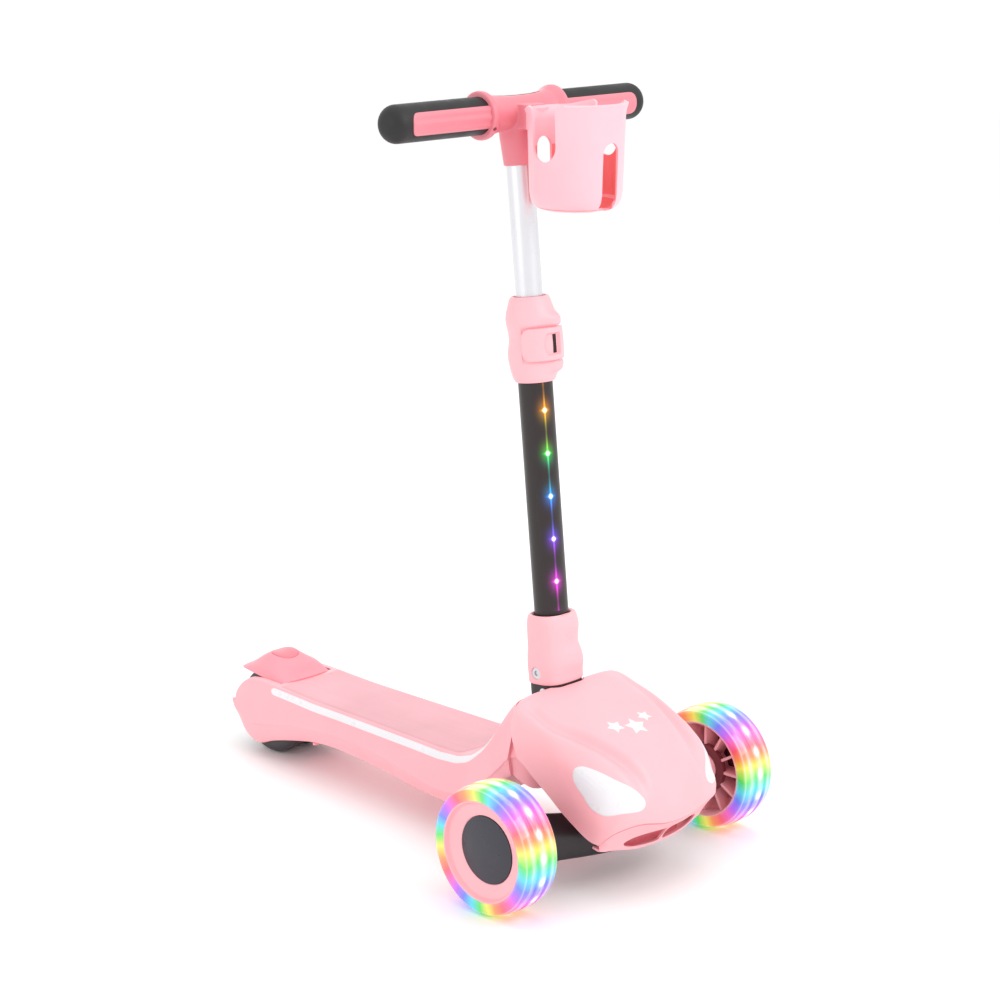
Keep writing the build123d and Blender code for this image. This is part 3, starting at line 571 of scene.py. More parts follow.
def deck_row(x, crown, top_half, top, crease_half, crease, base_half, base):
    side = [(top_half + 1.3, top - 1.9),
            (top_half + (crease_half - top_half) * 0.5, top + (crease - top) * 0.52),
            (crease_half - 0.5, crease + 2.2), (crease_half, crease), (crease_half - 0.9, crease - 2.0),
            (base_half + 0.4, base + 2.4), (base_half - 1.6, base + 0.3), (base_half - 8, base), (0, base)]
    half = [(0, crown), (top_half * 0.5, crown * 0.85 + top * 0.15),
            (top_half - 2.4, top + (crown - top) * 0.1)] + side
    return [(x, y, z) for y, z in half]


def whole_rings(half):
    """Half rings closed with their mirror image."""
    return np.concatenate([half, half[:, ::-1][:, 1:-1] * np.array((1, -1, 1))], axis=1)


def deck_rings():
    """Rings of points round the deck, from its tail to the seam behind the cowl."""
    rows = [deck_row(*station) for station in DECK_STATIONS]
    return whole_rings(patch(rows, 5, 5))


def capped(rings):
    """Closed shape of rings of points, with flat ends."""
    points, faces = grid(rings, wrap_cols=True)
    rows, cols = rings.shape[:2]
    faces += [tuple(range(cols)), tuple(range((rows - 1) * cols, rows * cols))]
    return points, faces


REAR_AXLE = ((middle("rear_axle") - Vector((DECK.translation.x, 0, 0))) / MM)
BAY_HALF = 34.5
BAY_RADIUS = 47.0


def disc_outline(x, z, radius, steps=64):
    return [(x + radius * math.sin(a), z + radius * math.cos(a))
            for a in np.linspace(0, 2 * math.pi, steps, endpoint=False)]


def build_deck():
    body = make("deck_body", capped(deck_rings()), DECK)
    bay = prism(disc_outline(REAR_AXLE.x, REAR_AXLE.z, BAY_RADIUS), -BAY_HALF, BAY_HALF, "Y")
    slot = box((-560, -BAY_HALF, -20), (REAR_AXLE.x, BAY_HALF, 140))
    carve(body, bay, slot)
    carve(body, column_well())
    crisp(body, 50)
    soften(body, 0.7, 50, 2)
    return body


def post_shape(depth, width, corner, start, end):
    """Upright bar of rounded rectangular section."""
    ring = []
    for sx, sy, first in ((1, 1, 0), (-1, 1, 90), (-1, -1, 180), (1, -1, 270)):
        for k in range(6):
            a = math.radians(first + 18 * k)
            ring.append((sx * (depth / 2 - corner) + corner * math.cos(a),
                         sy * (width / 2 - corner) + corner * math.sin(a)))
    return prism(ring, start, end, "Z")


WELL_DEPTH, WELL_WIDTH, WELL_CORNER, WELL_REACH = 39, 49, 12, 60


def column_well():
    """Slot for the column's foot, in the deck frame."""
    points, faces = post_shape(WELL_DEPTH, WELL_WIDTH, WELL_CORNER, -WELL_REACH, WELL_REACH)
    return [DECK.inverted() @ COLUMN @ (Vector(p) * MM) / MM for p in points], faces


deck = build_deck()
deck_tree = skin(deck)
dress(deck, "deck", DECK_PINK, "pink_plastic", "deck_shell", "deck_base")


def mat_half(x):
    """Half width of the foot mat at x."""
    xs, halves = [-425, -365, -290, -210, -160, -140], [40.5, 41.5, 42.5, 44.3, 46.0, 46.0]
    return float(np.interp(x, xs, halves))


def build_mat():
    rows = []
    for t in np.linspace(0, 1, 90):
        row = []
        for s in np.linspace(-1, 1, 41):
            front = -143 - 15 * (1 - (1 - abs(s) ** 3.2) ** (1 / 3.2))
            x = -424 + t * (front + 424)
            edge = min(1 - abs(s), t * 4, (1 - t) * 4) * mat_half(x)
            row.append(drop(deck_tree, (x, s * mat_half(x), 130), (0, 0, -1), 1.0 if edge > 0.3 else -0.6))
        rows.append(row)
    return make("foot_mat", grid(np.array(rows)), DECK, outward=(-300, 0, 0))


dress(build_mat(), "deck", MAT, "mat_rubber", "deck_mat")


def build_stripes():
    """White inlays along both shoulders, which taper out as they climb the neck."""
    shapes = []
    stations = np.array(DECK_STATIONS, float)
    xs = np.concatenate([np.linspace(-433, -428, 8), np.linspace(-426, -118, 120),
                         np.linspace(-116, -101, 14)])
    for side in (-1, 1):
        rows = []
        for x in xs:
            top_half, top, crease_half, crease = [np.interp(x, stations[:, 0], stations[:, k])
                                                  for k in (2, 3, 4, 5)]
            tail = math.sqrt(max(0.0, 1 - ((-428 - x) / 5.2) ** 2)) if x < -428 else 1.0
            nose = min(1.0, max(0.02, (-100 - x) / 38)) ** 0.8
            wide = 8.6 * tail * nose
            across = Vector((0, crease_half - top_half, crease - top)).normalized()
            outward = Vector((0, -across.z, across.y))
            start = Vector((x, top_half + 0.9, top - 1.4)) + across * (1 - tail) * 4.0
            row = []
            for k, share in enumerate(np.linspace(0, 1, 9)):
                spot = start + across * wide * share
                spot.y *= side
                way = Vector((0, -outward.y * side, -outward.z))
                row.append(drop(deck_tree, spot - way * 20, way, 0.35 if 0 < k < 8 else -0.4))
            rows.append(row)
        shapes.append(grid(np.array(rows)))
    return make("side_stripe_inlays", joined(*shapes), DECK, outward=(-300, 0, 40))


dress(build_stripes(), "deck", WHITE, "white_plastic", "side_stripes")

# -------- brake
PEDAL_ROWS = [
    (-427, [(0, 83.6), (10, 83.5), (20, 83.2), (26.5, 82.7), (30, 81.8)]),
    (-431, [(0, 86.8), (11, 86.6), (21, 86), (28.5, 84.2), (32, 81.4)]),
    (-439, [(0, 92.6), (12, 92.3), (22, 91), (30, 87), (33.6, 81.4)]),
    (-448, [(0, 97.2), (13, 96.8), (23, 94.2), (30.6, 89), (34.1, 81.6)]),
    (-458, [(0, 101.6), (13, 101.2), (22.8, 95.4), (30.6, 89.6), (34.2, 82.4)]),
    (-469, [(0, 103), (13, 102.4), (22.8, 95.4), (30.6, 89.4), (34.2, 83.6)]),
    (-479, [(0, 100), (12, 99.2), (22.4, 93), (29.8, 88.8), (33.8, 84.8)]),
    (-488, [(0, 94.4), (12, 93.6), (21, 90.4), (28.6, 88.2), (32.8, 85.8)]),
    (-496, [(0, 88.6), (11, 88.4), (19, 87.8), (26, 87), (30.6, 86)]),
]


def build_pedal():
    rows = mirrored_rows([[(x + 3.0 * (1 if k == 0 else 0) * (1 - (y / 26) ** 2), y, z) for y, z in row]
                          for k, (x, row) in enumerate(PEDAL_ROWS)])
    pedal = make("brake_fender", grid(patch(rows, 5, 6)), DECK, outward=(-462, 0, 40))
    thicken(pedal, 2.4)
    soften(pedal, 0.7, 45)
    return pedal


pedal = build_pedal()
pedal_tree = skin(pedal)
dress(pedal, "brake", PEDAL_PINK, "deep_pink_plastic", "brake_pedal")


def build_shoe():
    """Curved steel plate under the pedal, over the tyres."""
    turns = np.radians(np.linspace(-24, 8, 20))
    rows = [[(REAR_AXLE.x + 46.8 * math.sin(a), y, REAR_AXLE.z + 46.8 * math.cos(a))
             for y in np.linspace(-20, 20, 12)] for a in turns]
    return thicken(make("brake_shoe_plate", grid(np.array(rows)), DECK,
                        outward=(REAR_AXLE.x, 0, REAR_AXLE.z)), 0.9, 1.0)


dress(build_shoe(), "brake", STEEL, "steel", "brake_shoe")


def oval(half_long, half_wide, steps=48, power=2.3):
    outline = []
    for a in np.linspace(0, 2 * math.pi, steps, endpoint=False):
        c, s = math.cos(a), math.sin(a)
        outline.append((half_long * math.copysign(abs(c) ** (2 / power), c),
                        half_wide * math.copysign(abs(s) ** (2 / power), s)))
    return outline


PAD_SPOT = (-463, 0, 100)
# Darker ring of the pedal's own plastic round the pad: painted shade in the groove.
groove = make("brake_pad_groove", lay_on(pedal_tree, oval(15.2, 13.4), PAD_SPOT, (0, 0, 1), 0.12), DECK,
              outward=(-462, 0, 40))
dress(groove, "brake", moulded("pad_groove_painted_shade", rgb(212, 110, 124)), "deep_pink_plastic")
pad = make("brake_pad_top", lay_on(pedal_tree, oval(14.4, 12.6), PAD_SPOT, (0, 0, 1), 0.5, sink=0.1), DECK,
           outward=(-462, 0, 40))
dress(pad, "brake", DEEP_PINK, "deep_pink_plastic", "brake_pad")

# -------- cowl
# Half rows from the centre plane out, and from the back of the cowl forward and down to its parting line.
COWL_ROWS = [
    [(-58, 0, 156), (-58, 25, 156), (-58, 50, 155), (-57.5, 62, 153), (-56.5, 70, 148), (-55.5, 73.5, 139),
     (-52, 74.5, 126), (-47, 73.5, 111)],
    [(-56, 0, 164.4), (-56, 25, 164.4), (-56, 50, 163.8), (-55, 61.5, 162), (-53, 70.5, 156.5),
     (-51, 75, 146), (-47, 76, 130), (-42, 74, 109)],
    [(-52, 0, 165.6), (-52, 25, 165.6), (-52, 50, 165), (-51, 61.5, 163.4), (-49, 71, 158.2),
     (-47, 75.5, 147.5), (-43, 76.5, 130), (-38, 74.5, 107.5)],
    [(-38, 0, 163), (-38, 26, 162.6), (-37, 54, 161.4), (-36, 63.5, 154.6), (-34, 71.5, 154.4),
     (-32, 76.5, 143), (-29, 77, 123), (-27, 75, 100)],
    [(-16, 0, 157), (-16, 26, 156.6), (-13, 55, 154), (-11, 64, 146.2), (-9.5, 72.5, 147), (-8, 77, 134),
     (-7, 77.4, 112), (-7, 75.6, 88)],
    [(10, 0, 151), (10, 24, 150.6), (13, 47.5, 148.6), (15.5, 55, 138.6), (17, 66, 141), (16, 75.5, 127),
     (13, 77.4, 101), (11, 76, 76)],
    [(36, 0, 142.6), (36, 22, 142.2), (38, 40, 140.6), (41, 47, 130), (44, 58.5, 132.4), (43, 72.5, 117),
     (36, 77, 91), (28, 75.4, 65.5)],
    [(58, 0, 131), (58.5, 20, 130.8), (60, 34, 129), (62.5, 41, 118.8), (64, 53, 119.8), (60.5, 68.4, 106),
     (51, 75.4, 83), (39, 74, 58.5)],
    [(73, 0, 117.5), (73.5, 18, 117.2), (74.5, 31, 115.2), (76, 38.5, 107.2), (75.6, 51, 105.4),
     (69, 65.5, 93), (60, 73, 75), (46, 72.4, 55)],
    [(82.5, 0, 102.5), (83, 18, 102), (83.5, 30, 100), (83.6, 38, 95.5), (82, 50, 92), (76, 63, 84.5),
     (66, 70.2, 72), (50, 71, 54)],
    [(88, 0, 87.5), (88, 18, 87.3), (88, 30, 86.4), (87, 39, 85), (84.4, 49.5, 82.5), (78, 60.5, 78),
     (68.5, 67.6, 69), (51.6, 70, 53.4)],
    [(88, 0, 77), (87.7, 18, 77.4), (87.2, 31, 78.6), (86.2, 39.6, 79.6), (83.4, 51, 79.2),
     (77.4, 61, 75.6), (67.8, 67.8, 68), (52, 69.8, 53.2)],
    [(87, 0, 69.5), (86.6, 18, 70.6), (86, 31, 73.4), (85, 40, 75.5), (82, 52, 76.2), (76.5, 61, 73.6),
     (67, 67.8, 67), (52, 69.6, 53)],
]


def build_cowl():
    cowl = make("cowl_shell", grid(patch(mirrored_rows(COWL_ROWS), 6, 6)), DECK, outward=(0, 0, 60))
    thicken(cowl, 2.6)
    settle(cowl)
    carve(cowl, column_well())
    crisp(cowl, 50)
    soften(cowl, 0.6, 50)
    return cowl


cowl = build_cowl()
cowl_tree = skin(cowl)
dress(cowl, "deck", PINK, "pink_plastic", "cowl")

HEADLIGHT = [(-34, 21), (-28, 24), (-16, 21), (3, 12), (21, 3), (30, -6), (31, -11), (27, -16), (10, -19),
             (-5, -21), (-12, -19), (-19, -14), (-26, -3),
             (-34, 10)]


def build_headlight(side):
    facing = Vector((0.664, side * 0.664, 0.342))
    outline = [(a if side < 0 else -a, b) for a, b in loop(HEADLIGHT, 6)]
    return make(f"headlight_lens_{side_name(side)}",
                lay_on(cowl_tree, outline, (62, side * 64, 104.9), facing, 0.35, rings=12), DECK,
                outward=(0, 0, 80))


for side, name in ((1, "left"), (-1, "right")):
    dress(build_headlight(side), "deck", WHITE, "white_plastic", f"headlight_{name}")


def star(radius, turn=0.0, inner=0.52):
    corners = []
    for k in range(10):
        a = math.radians(90 + 36 * k) + turn
        r = radius if k % 2 == 0 else radius * inner
        corners.append((r * math.cos(a), r * math.sin(a)))
    out = []
    for k, (a, b) in enumerate(corners):
        c, d = corners[(k + 1) % 10]
        out += [(a, b), (a * 0.66 + c * 0.34, b * 0.66 + d * 0.34),
                (a * 0.34 + c * 0.66, b * 0.34 + d * 0.66)]
    return out


STARS = [(-19, 10, 9.5, 0.2), (1, 2, 12.0, -0.15), (21, 11, 8.0, 0.3)]
emblem = joined(*[lay_on(cowl_tree, [(u + a, v + b) for a, b in star(r, turn)], (30, 0, 136), (0.5, 0, 1),
                         0.12, rings=5, sink=0.05)
                  for u, v, r, turn in STARS])
dress(make("cowl_stars", emblem, DECK, outward=(0, 0, 60)), "deck", WHITE, "white_plastic")


# The bumper's edge below the cowl and its bottom edge, half of each from the centre plane out.
BUMPER_HIGH = COWL_ROWS[-1]
BUMPER_LOW = [(62, 0, 40), (61.8, 18, 40.6), (61, 31, 41.8), (60.2, 40, 43.4), (58.6, 50, 45.4),
              (56.6, 58, 46.4), (54.8, 64.5, 46.8), (52, 68.2, 47.2)]
INTAKE = [(1.9, 57.6), (12, 59.4), (25, 60), (36, 58.6), (45, 55.8), (48.4, 52.4), (46, 49.2), (40, 46.8),
          (30, 45), (18, 44), (4, 43.6), (1.9, 45)]


def build_bumper():
    """Sloping bumper under the cowl's edge, with an intake on each side of a divider."""
    rows = []
    for high, low in zip(BUMPER_HIGH, BUMPER_LOW):
        high, low = Vector(high), Vector(low)
        ease = 1 - (high.y / 70) ** 4
        row = [high + Vector((-2.4, 0, 1.2)), high + Vector((-2.6, -0.8 * high.y / 70, -0.7))]
        for share, dent in ((0.05, 0.2), (0.14, 0.4), (0.32, 1.6), (0.5, 2.6), (0.75, 2.2), (0.92, 0.6),
                            (1.0, 0.0)):
            row.append(high.lerp(low, share) + Vector((-dent * ease, 0, 0)))
        rows.append([tuple(p) for p in row + [low + Vector((-2, 0, -0.6)), low + Vector((-9, 0, 0.6))]])
    points = patch(rows, 4, 5)
    mirror = points[::-1][:-1] * np.array((1, -1, 1))
    bumper = make("cowl_bumper", grid(np.concatenate([mirror, points])), DECK, outward=(40, 0, 60))
    settle(thicken(bumper, 2.0))
    outline = [tuple(p) for p in loop(INTAKE, 4)]
    carve(bumper, prism(outline, 30, 110, "X"), prism([(-y, z) for y, z in outline], 30, 110, "X"))
    crisp(bumper, 45)
    return soften(bumper, 0.5, 45)


def build_throat():
    """Back wall of the intakes."""
    rows = []
    for y in np.linspace(-53, 53, 34):
        k = (y / 72) ** 2 * 12
        rows.append([(59 - k, y, 43.4), (55 - k, y, 46), (54 - k, y, 52), (58 - k, y, 60), (66 - k, y, 67)])
    return make("intake_throat", grid(patch(rows, 3, 1)), DECK, outward=(0, 0, 50))


dress(build_bumper(), "deck", PINK, "pink_plastic", "bumper_grille")
# The intakes' back wall takes a deeper pink: painted shade inside the intakes.
dress(build_throat(), "deck", moulded("intake_wall_painted_shade", rgb(226, 118, 130)), "pink_plastic")


def build_bracket():
    """Side plates and floor of the neck, seen below the cowl's edge."""
    rows = [deck_row(x, crown, th, top, ch, crease, bh, base) for x, crown, th, top, ch, crease, bh,
            base in (
        (-64, 156, 56, 154, 70, 107, 66, 90), (-52, 154, 56, 152, 69, 110, 64.5, 84),
        (-40, 150, 55, 148, 67, 112, 61, 80), (-30, 146, 50, 142, 60, 112, 54, 82))]
    return make("neck_bracket", capped(whole_rings(patch(rows, 4, 3))), DECK)


bracket = carve(build_bracket(), column_well())
dress(bracket, "deck", DECK_PINK, "pink_plastic")

# -------- steering beam
BEAM_ROWS = [(-119, 41, 8, 66, 78), (-100, 33, 8, 62, 75), (-80, 27, 9, 58, 72),
             (-58, 24.5, 13, 52.5, 66.5), (-35, 23, 19, 48, 61), (-16, 22.3, 23, 46.4, 58.6),
             (0, 22, 24, 46, 58)]
BEAM_BACK = -12.0


def build_beam():
    rows = []
    for y, bottom, front, front_top, back_top in BEAM_ROWS + [(-row[0],) + row[1:]
                                                              for row in reversed(BEAM_ROWS[:-1])]:
        outline = [(BEAM_BACK, bottom), (front, bottom), (front, front_top), (BEAM_BACK, back_top)]
        ring = rounded(outline + outline[:2], 7.0, 5)[1:-1]
        rows.append([(x, y, z) for x, z in ring[:24]])
    dense = np.stack([spline(np.array(rows)[:, k], 6) for k in range(24)], axis=1)
    beam = make("steering_beam", capped(dense), DECK)
    axis = Matrix.Rotation(math.radians(45), 4, "Y")
    spot = Vector(JOINTS["lean_steer"]["pos_m"]) / MM - DECK.translation / MM
    for start, end in ((12, 46), (-46, -12)):
        rod = lathe([(0.01, start), (18, start), (18, end), (0.01, end)], 48)
        carve(beam, ([spot + axis @ Vector(p) for p in rod[0]], rod[1]))
    crisp(beam, 40)
    return beam


dress(build_beam(), "truck", BLACK, "black_plastic", "truck_beam")

# -------- folding joint and column
def superellipse(theta, a, b, power):
    return (abs(math.cos(theta) / a) ** power + abs(math.sin(theta) / b) ** power) ** (-1 / power)


def build_sleeve():
    """Pull-up sleeve with finger waves on its front."""
    levels = [(16.2, 17.4, 22.0, 2.6, 0), (15.4, 18.6, 23.4, 3.4, 0), (16.6, 19.2, 24.0, 3.6, 0),
              (24, 19.4, 24.2, 3.6, 0.3), (33, 19.6, 24.4, 3.6, 1.5), (42, 19.4, 24.0, 3.5, 0.6),
              (50, 19.0, 23.4, 3.4, -1.5), (58, 18.9, 23.2, 3.3, -0.6), (66, 18.9, 23.2, 3.2, 0.9),
              (72, 18.6, 23.0, 3.2, 0.7), (76.5, 18.2, 22.6, 3.1, 0.2), (79, 17.6, 22.0, 3.0, 0),
              (80.2, 17.8, 20.8, 2.6, 0), (80.0, 17.5, 18.8, 2.2, 0), (78.6, 17.4, 17.4, 2.0, 0),
              (74, 17.4, 17.4, 2.0, 0)]
    rows = []
    for s, a, b, power, wave in levels:
        row = []
        for theta in np.linspace(0, 2 * math.pi, 72, endpoint=False):
            front = max(0.0, math.cos(theta - 0.5)) ** 2
            r = superellipse(theta, a, b, power) + wave * front
            row.append(around(r, theta, s))
        rows.append(row)
    rows = np.array(rows)
    dense = np.stack([spline(rows[:, k], 4) for k in range(rows.shape[1])], axis=1)
    return make("fold_sleeve", grid(dense, wrap_cols=True), COLUMN, outward=(0, 0, 48))


sleeve = settle(thicken(build_sleeve(), 1.0))
for side in (-1, 1):
    carve(sleeve, prism(disc_outline(-2, 26, 5.7, 40), side * 21.5, side * 30, "Y"))
dress(sleeve, "sleeve", PINK, "pink_plastic", "lock_sleeve")


def collar_radius(s):
    levels = [(298, 18.0), (299.5, 19.0), (305, 21.4), (313, 22.6), (322, 23.9), (328, 23.0), (334, 21.7),
              (341, 21.4), (347, 22.4), (353, 23.7), (360, 23.0), (368, 20.6), (374, 18.4), (376, 17.4)]
    return float(np.interp(s, [a for a, _ in levels], [b for _, b in levels]))


def build_collar():
    """Wavy clamp collar with a hinge boss on its front left."""
    heights = np.concatenate([np.linspace(298, 300, 4), np.linspace(302, 372, 36),
                              np.linspace(373.5, 376, 5)])
    table = [collar_radius(s) for s in heights]
    smooth = np.convolve(np.pad(table, 2, mode="edge"), np.ones(5) / 5, mode="valid")
    rows = []
    for s, base in [(300.5, 16.1), (298.0, 16.4)] + list(zip(heights, smooth)) + [(376.2, 16.2),
                                                                                  (375.4, 15.4),
                                                                                  (372, 15.2)]:
        row = []
        for theta in np.linspace(-math.pi, math.pi, 120, endpoint=False):
            turn = math.degrees(theta)
            near = math.exp(-((turn - 22) / 24) ** 2)
            boss = (5.4 * near * math.exp(-((s - 353) / 7.5) ** 4)
                    + 6.0 * near * math.exp(-((s - 313) / 7) ** 4))
            held = 0.0
            if 317.4 < s < 348.6 and -72 < turn < 40:
                held = -1.6
            r = base if base < 16.6 else base + boss + held
            row.append(around(r, theta, s))
        rows.append(row)
    return make("clamp_body", grid(np.array(rows), wrap_cols=True), COLUMN, outward=(0, 0, 337))


collar = crisp(build_collar(), 50)
dress(collar, "column", PINK, "pink_plastic", "clamp_collar")

LEVER_FIRST, LEVER_LAST = -70.0, 31.0
LEVER_LOW, LEVER_HIGH = 318.0, 348.0
LEVER_INNER = 20.8


def lever_radius(turn, s):
    """Outer face of the clamp lever, with its finger recess."""
    share = (turn - LEVER_FIRST) / (LEVER_LAST - LEVER_FIRST)
    r = 24.2 + 4.6 * math.sin(min(1.0, share * 1.25) * math.pi / 2) ** 1.5
    mid = (LEVER_LOW + LEVER_HIGH) / 2
    across = abs(s - mid)
    r += 0.5 * math.cos((s - mid) / 15 * math.pi / 2)
    left = -22 + 9 * (1 - math.sqrt(max(0.0, 1 - (across / 9.4) ** 2)))
    inside = min((9.4 - across) / 1.2, (turn - left) / 2.4, (14 - turn) / 2.0)
    return r - 3.0 * min(1.0, max(0.0, inside + 0.5))


def build_lever():
    turns = np.linspace(LEVER_FIRST, LEVER_LAST, 110)
    rows = []
    for turn in turns:
        corner = 8.0
        gone = min(1.0, max(0.0, (turn - LEVER_FIRST) / 17.0))
        pinch = corner * (1 - math.sqrt(1 - (1 - gone) ** 2))
        low, high = LEVER_LOW + pinch, LEVER_HIGH - pinch
        ring = []
        for s in np.linspace(low, high, 46):
            r = lever_radius(turn, s)
            edge = min(s - low, high - s)
            r -= 0.9 * max(0.0, 1 - edge / 1.0) ** 2
            ring.append(around(r, math.radians(turn), s))
        back = []
        for s in np.linspace(high, low, 46):
            back.append(around(LEVER_INNER, math.radians(turn), s))
        rows.append(ring + back)
    return make("clamp_quick_lever", capped(np.array(rows)), COLUMN)


lever = crisp(build_lever(), 45)
dress(lever, "lever", PINK, "pink_plastic", "clamp_lever")


def on_round(radius, first, last, low, high, cols=24, rows=40):
    points = []
    for turn in np.linspace(first, last, cols):
        a = math.radians(turn)
        points.append([around(radius, a, s) for s in np.linspace(low, high, rows)])
    return grid(np.array(points))


# Thin near-black sheet in the clamp's slot: painted shade for the inside of the slot.
clamp_slot_shade = thicken(make("clamp_slot", on_round(26.6, 0, 9, 324.6, 341.4, 8, 8), COLUMN,
                        outward=(0, 0, 333)), 1.0)
dress(clamp_slot_shade, "lever", GAP_SHADE, "black_plastic")

strip = make("lit_strip_lens", on_round(16.06, -70, 30, 84, 297, 60, 90), COLUMN, outward=(0, 0, 200))
dress(strip, "column", LIT_STRIP, "lens", "led_strip", "leds")

# -------- T-head, grips and cup
def head_profile():
    right = [(11.1, 48.2), (20.8, 48.2), (21.9, 47.2), (21.9, 43.6), (20.6, 41.2), (18.4, 37), (16.8, 30),
             (15.8, 20), (15.4, 8), (15.4, 0)]
    return right + [(r, -y) for r, y in reversed(right[:-1])]


def build_head():
    """Cross sleeve with flanged ends, a collar down the stem and a boss for the cup."""
    lean = BAR.inverted() @ COLUMN
    cross = lathe(head_profile(), 72, "Y")
    stem = lathe([(12.55, 494.5), (14.6, 494.5), (16.8, 520), (17.2, 534), (12.55, 534)], 64)
    stem = ([lean @ (Vector(p) * MM) / MM for p in stem[0]], stem[1])
    boss = post_shape(26, 26, 6, -13, 9)
    boss = ([Vector(p) + Vector((14, 0, 0)) for p in boss[0]], boss[1])
    head = make("bar_head", joined(cross, stem, boss), BAR)
    mod = head.modifiers.new("blend", "REMESH")
    mod.mode = "VOXEL"
    mod.voxel_size = 0.8 * MM
    mod.use_smooth_shade = True
    relax = head.modifiers.new("relax", "SMOOTH")
    relax.factor = 0.5
    relax.iterations = 9
    settle(head)
    return head


head = build_head()
head_tree = skin(head)
dress(head, "stem", DEEP_PINK, "deep_pink_plastic", "t_head")
# Thin near-black strip on top of the T-head: painted shade for the inside of its slot.
head_slot_shade = make("head_slot",
                lay_on(head_tree, oval(30, 0.8, 40, 6), (0, 0, 20), (0, 0, 1), 0.1, rings=4, sink=0.0), BAR,
                outward=(0, 0, 0))
dress(head_slot_shade, "stem", GAP_SHADE, "black_plastic")
# Small maroon discs on the T-head: painted shade for the inside of its two holes.
hole = joined(*[lay_on(head_tree, oval(1.9, 1.9, 20, 2), (0, side * 43, 0), (0.78, side * 0.12, -0.42),
                       0.08, rings=3, sink=0.0) for side in (-1, 1)])
dress(make("head_holes", hole, BAR, outward=(0, 0, 0)), "stem", RECESS_SHADE, "deep_pink_plastic")

GRIP_RADIUS = 17.0
BAR_HALF = 160.0


def build_grip(side):
    body = rounded([(11.1, 43.4), (GRIP_RADIUS, 43.4), (GRIP_RADIUS, 147)], 0.5, 2).tolist()
    arc = [(GRIP_RADIUS - 13 + 13 * math.cos(a), 147 + 13 * math.sin(a))
           for a in np.radians(np.arange(9, 82, 9))]
    seam = arc + [(4.0, BAR_HALF), (0.01, BAR_HALF)]
    return make(f"bar_grip_{side_name(side)}",
                lathe([(r, side * h) for r, h in body + seam], 72, "Y", closed=False), BAR,
                outward=(0, side * 100, 0))


def build_inlay(side):
    """Pink panel let into the front of a grip: three soft ridges, its outer end rounded."""
    rows = []
    for h in np.concatenate([np.linspace(48.0, 136, 60), np.linspace(136.6, 142, 14)]):
        gone = max(0.0, (h - 132.5) / 9.5)
        reach = 37 * math.sqrt(max(0.0, 1 - gone ** 3))
        row = []
        for k, share in enumerate(np.linspace(-1, 1, 49)):
            turn = share * reach
            ridge = 0.5 * math.cos(turn / 37 * 3 * math.pi)
            r = GRIP_RADIUS + 0.9 + ridge * min(1.0, (142 - h) / 8)
            if k in (0, 48) or h > 141.9:
                r = GRIP_RADIUS - 0.5
            a = math.radians(turn)
            row.append((r * math.cos(a), side * h, r * math.sin(a)))
        rows.append(row)
    return make(f"bar_inlay_{side_name(side)}", grid(np.array(rows)), BAR, outward=(0, side * 90, 0))


for side, name in ((1, "left"), (-1, "right")):
    dress(build_grip(side), "stem", GRIP, "grip_rubber", f"grip_{name}")
    dress(build_inlay(side), "stem", DEEP_PINK, "deep_pink_plastic", f"grip_inlay_{name}")

CUP_WALL = 2.6


def cup_outer(z):
    """Outer radius of the cup at a height from the bar's axis."""
    levels = [(-80, 27.0), (-79.2, 32.0), (-76.5, 36.6), (-71, 40.2), (-64, 41.4), (-45, 42.0), (-20, 42.8),
              (2, 43.4), (8, 44.2), (12, 45.2), (14, 46.0)]
    return float(np.interp(z, [a for a, _ in levels], [b for _, b in levels]))


def build_cup():
    heights = np.concatenate([np.array([-80, -79.6, -78.9, -78, -76.8, -75.2, -73.2, -71, -68.5]),
                              np.arange(-66, 13.9, 1.5), [14.0]])
    turns = np.radians(np.arange(0, 360, 1.5))
    radii = [cup_outer(z) for z in heights]
    radii = np.convolve(np.pad(radii, 1, mode="edge"), (0.25, 0.5, 0.25), mode="valid")
    points = np.array([[around(r, a, z) for a in turns] for z, r in zip(heights, radii)])
    behind = np.clip((-10 - points[:, :, 0]) / 26, 0, 1)
    points[:, :, 2] -= 7.0 * behind * np.clip((points[:, :, 2] + 12) / 26, 0, 1)
    floor = np.array([[around(r, a, -80) for a in turns] for r in (12.0, 20.0)])
    shape = grid(np.concatenate([floor, points]), wrap_cols=True)
    cup = make("cup_body", shape, CUP, outward=(0, 0, -40))
    thicken(cup, CUP_WALL)
    settle(cup)
    cutters = []
    for side in (-1, 1):
        outline = [(13.5 * math.cos(a), -22 + 13.5 * math.sin(a))
                   for a in np.radians(np.arange(180, 361, 12))]
        outline += [(13.5, 6), (14.6, 10.5), (17.5, 13), (22, 14.2), (22, 40), (-22, 40), (-22, 14.2),
                    (-17.5, 13), (-14.6, 10.5), (-13.5, 6)]
        cutters.append(prism(outline, side * 20, side * 60, "Y"))
    arch = [(9.5 * math.cos(a), -28 + 9.5 * math.sin(a)) for a in np.radians(np.arange(0, 181, 12))]
    for side in (-1, 1):
        cutters.append(prism(arch + [(-9.5, -110), (9.5, -110)], side * 24, side * 70, "X"))
    carve(cup, *cutters)
    crisp(cup, 50)
    soften(cup, 0.7, 50, 3)
    return cup


cup = build_cup()
dress(cup, "stem", CUP_PINK, "pink_plastic", "cup_holder")
arm = post_shape(19, 24, 5, -13, 7)
arm = make("cup_arm", ([Vector(p) + Vector((-51, 0, 0)) for p in arm[0]], arm[1]), CUP)
dress(soften(crisp(arm), 1.0), "stem", CUP_PINK, "pink_plastic", "cup_screw")

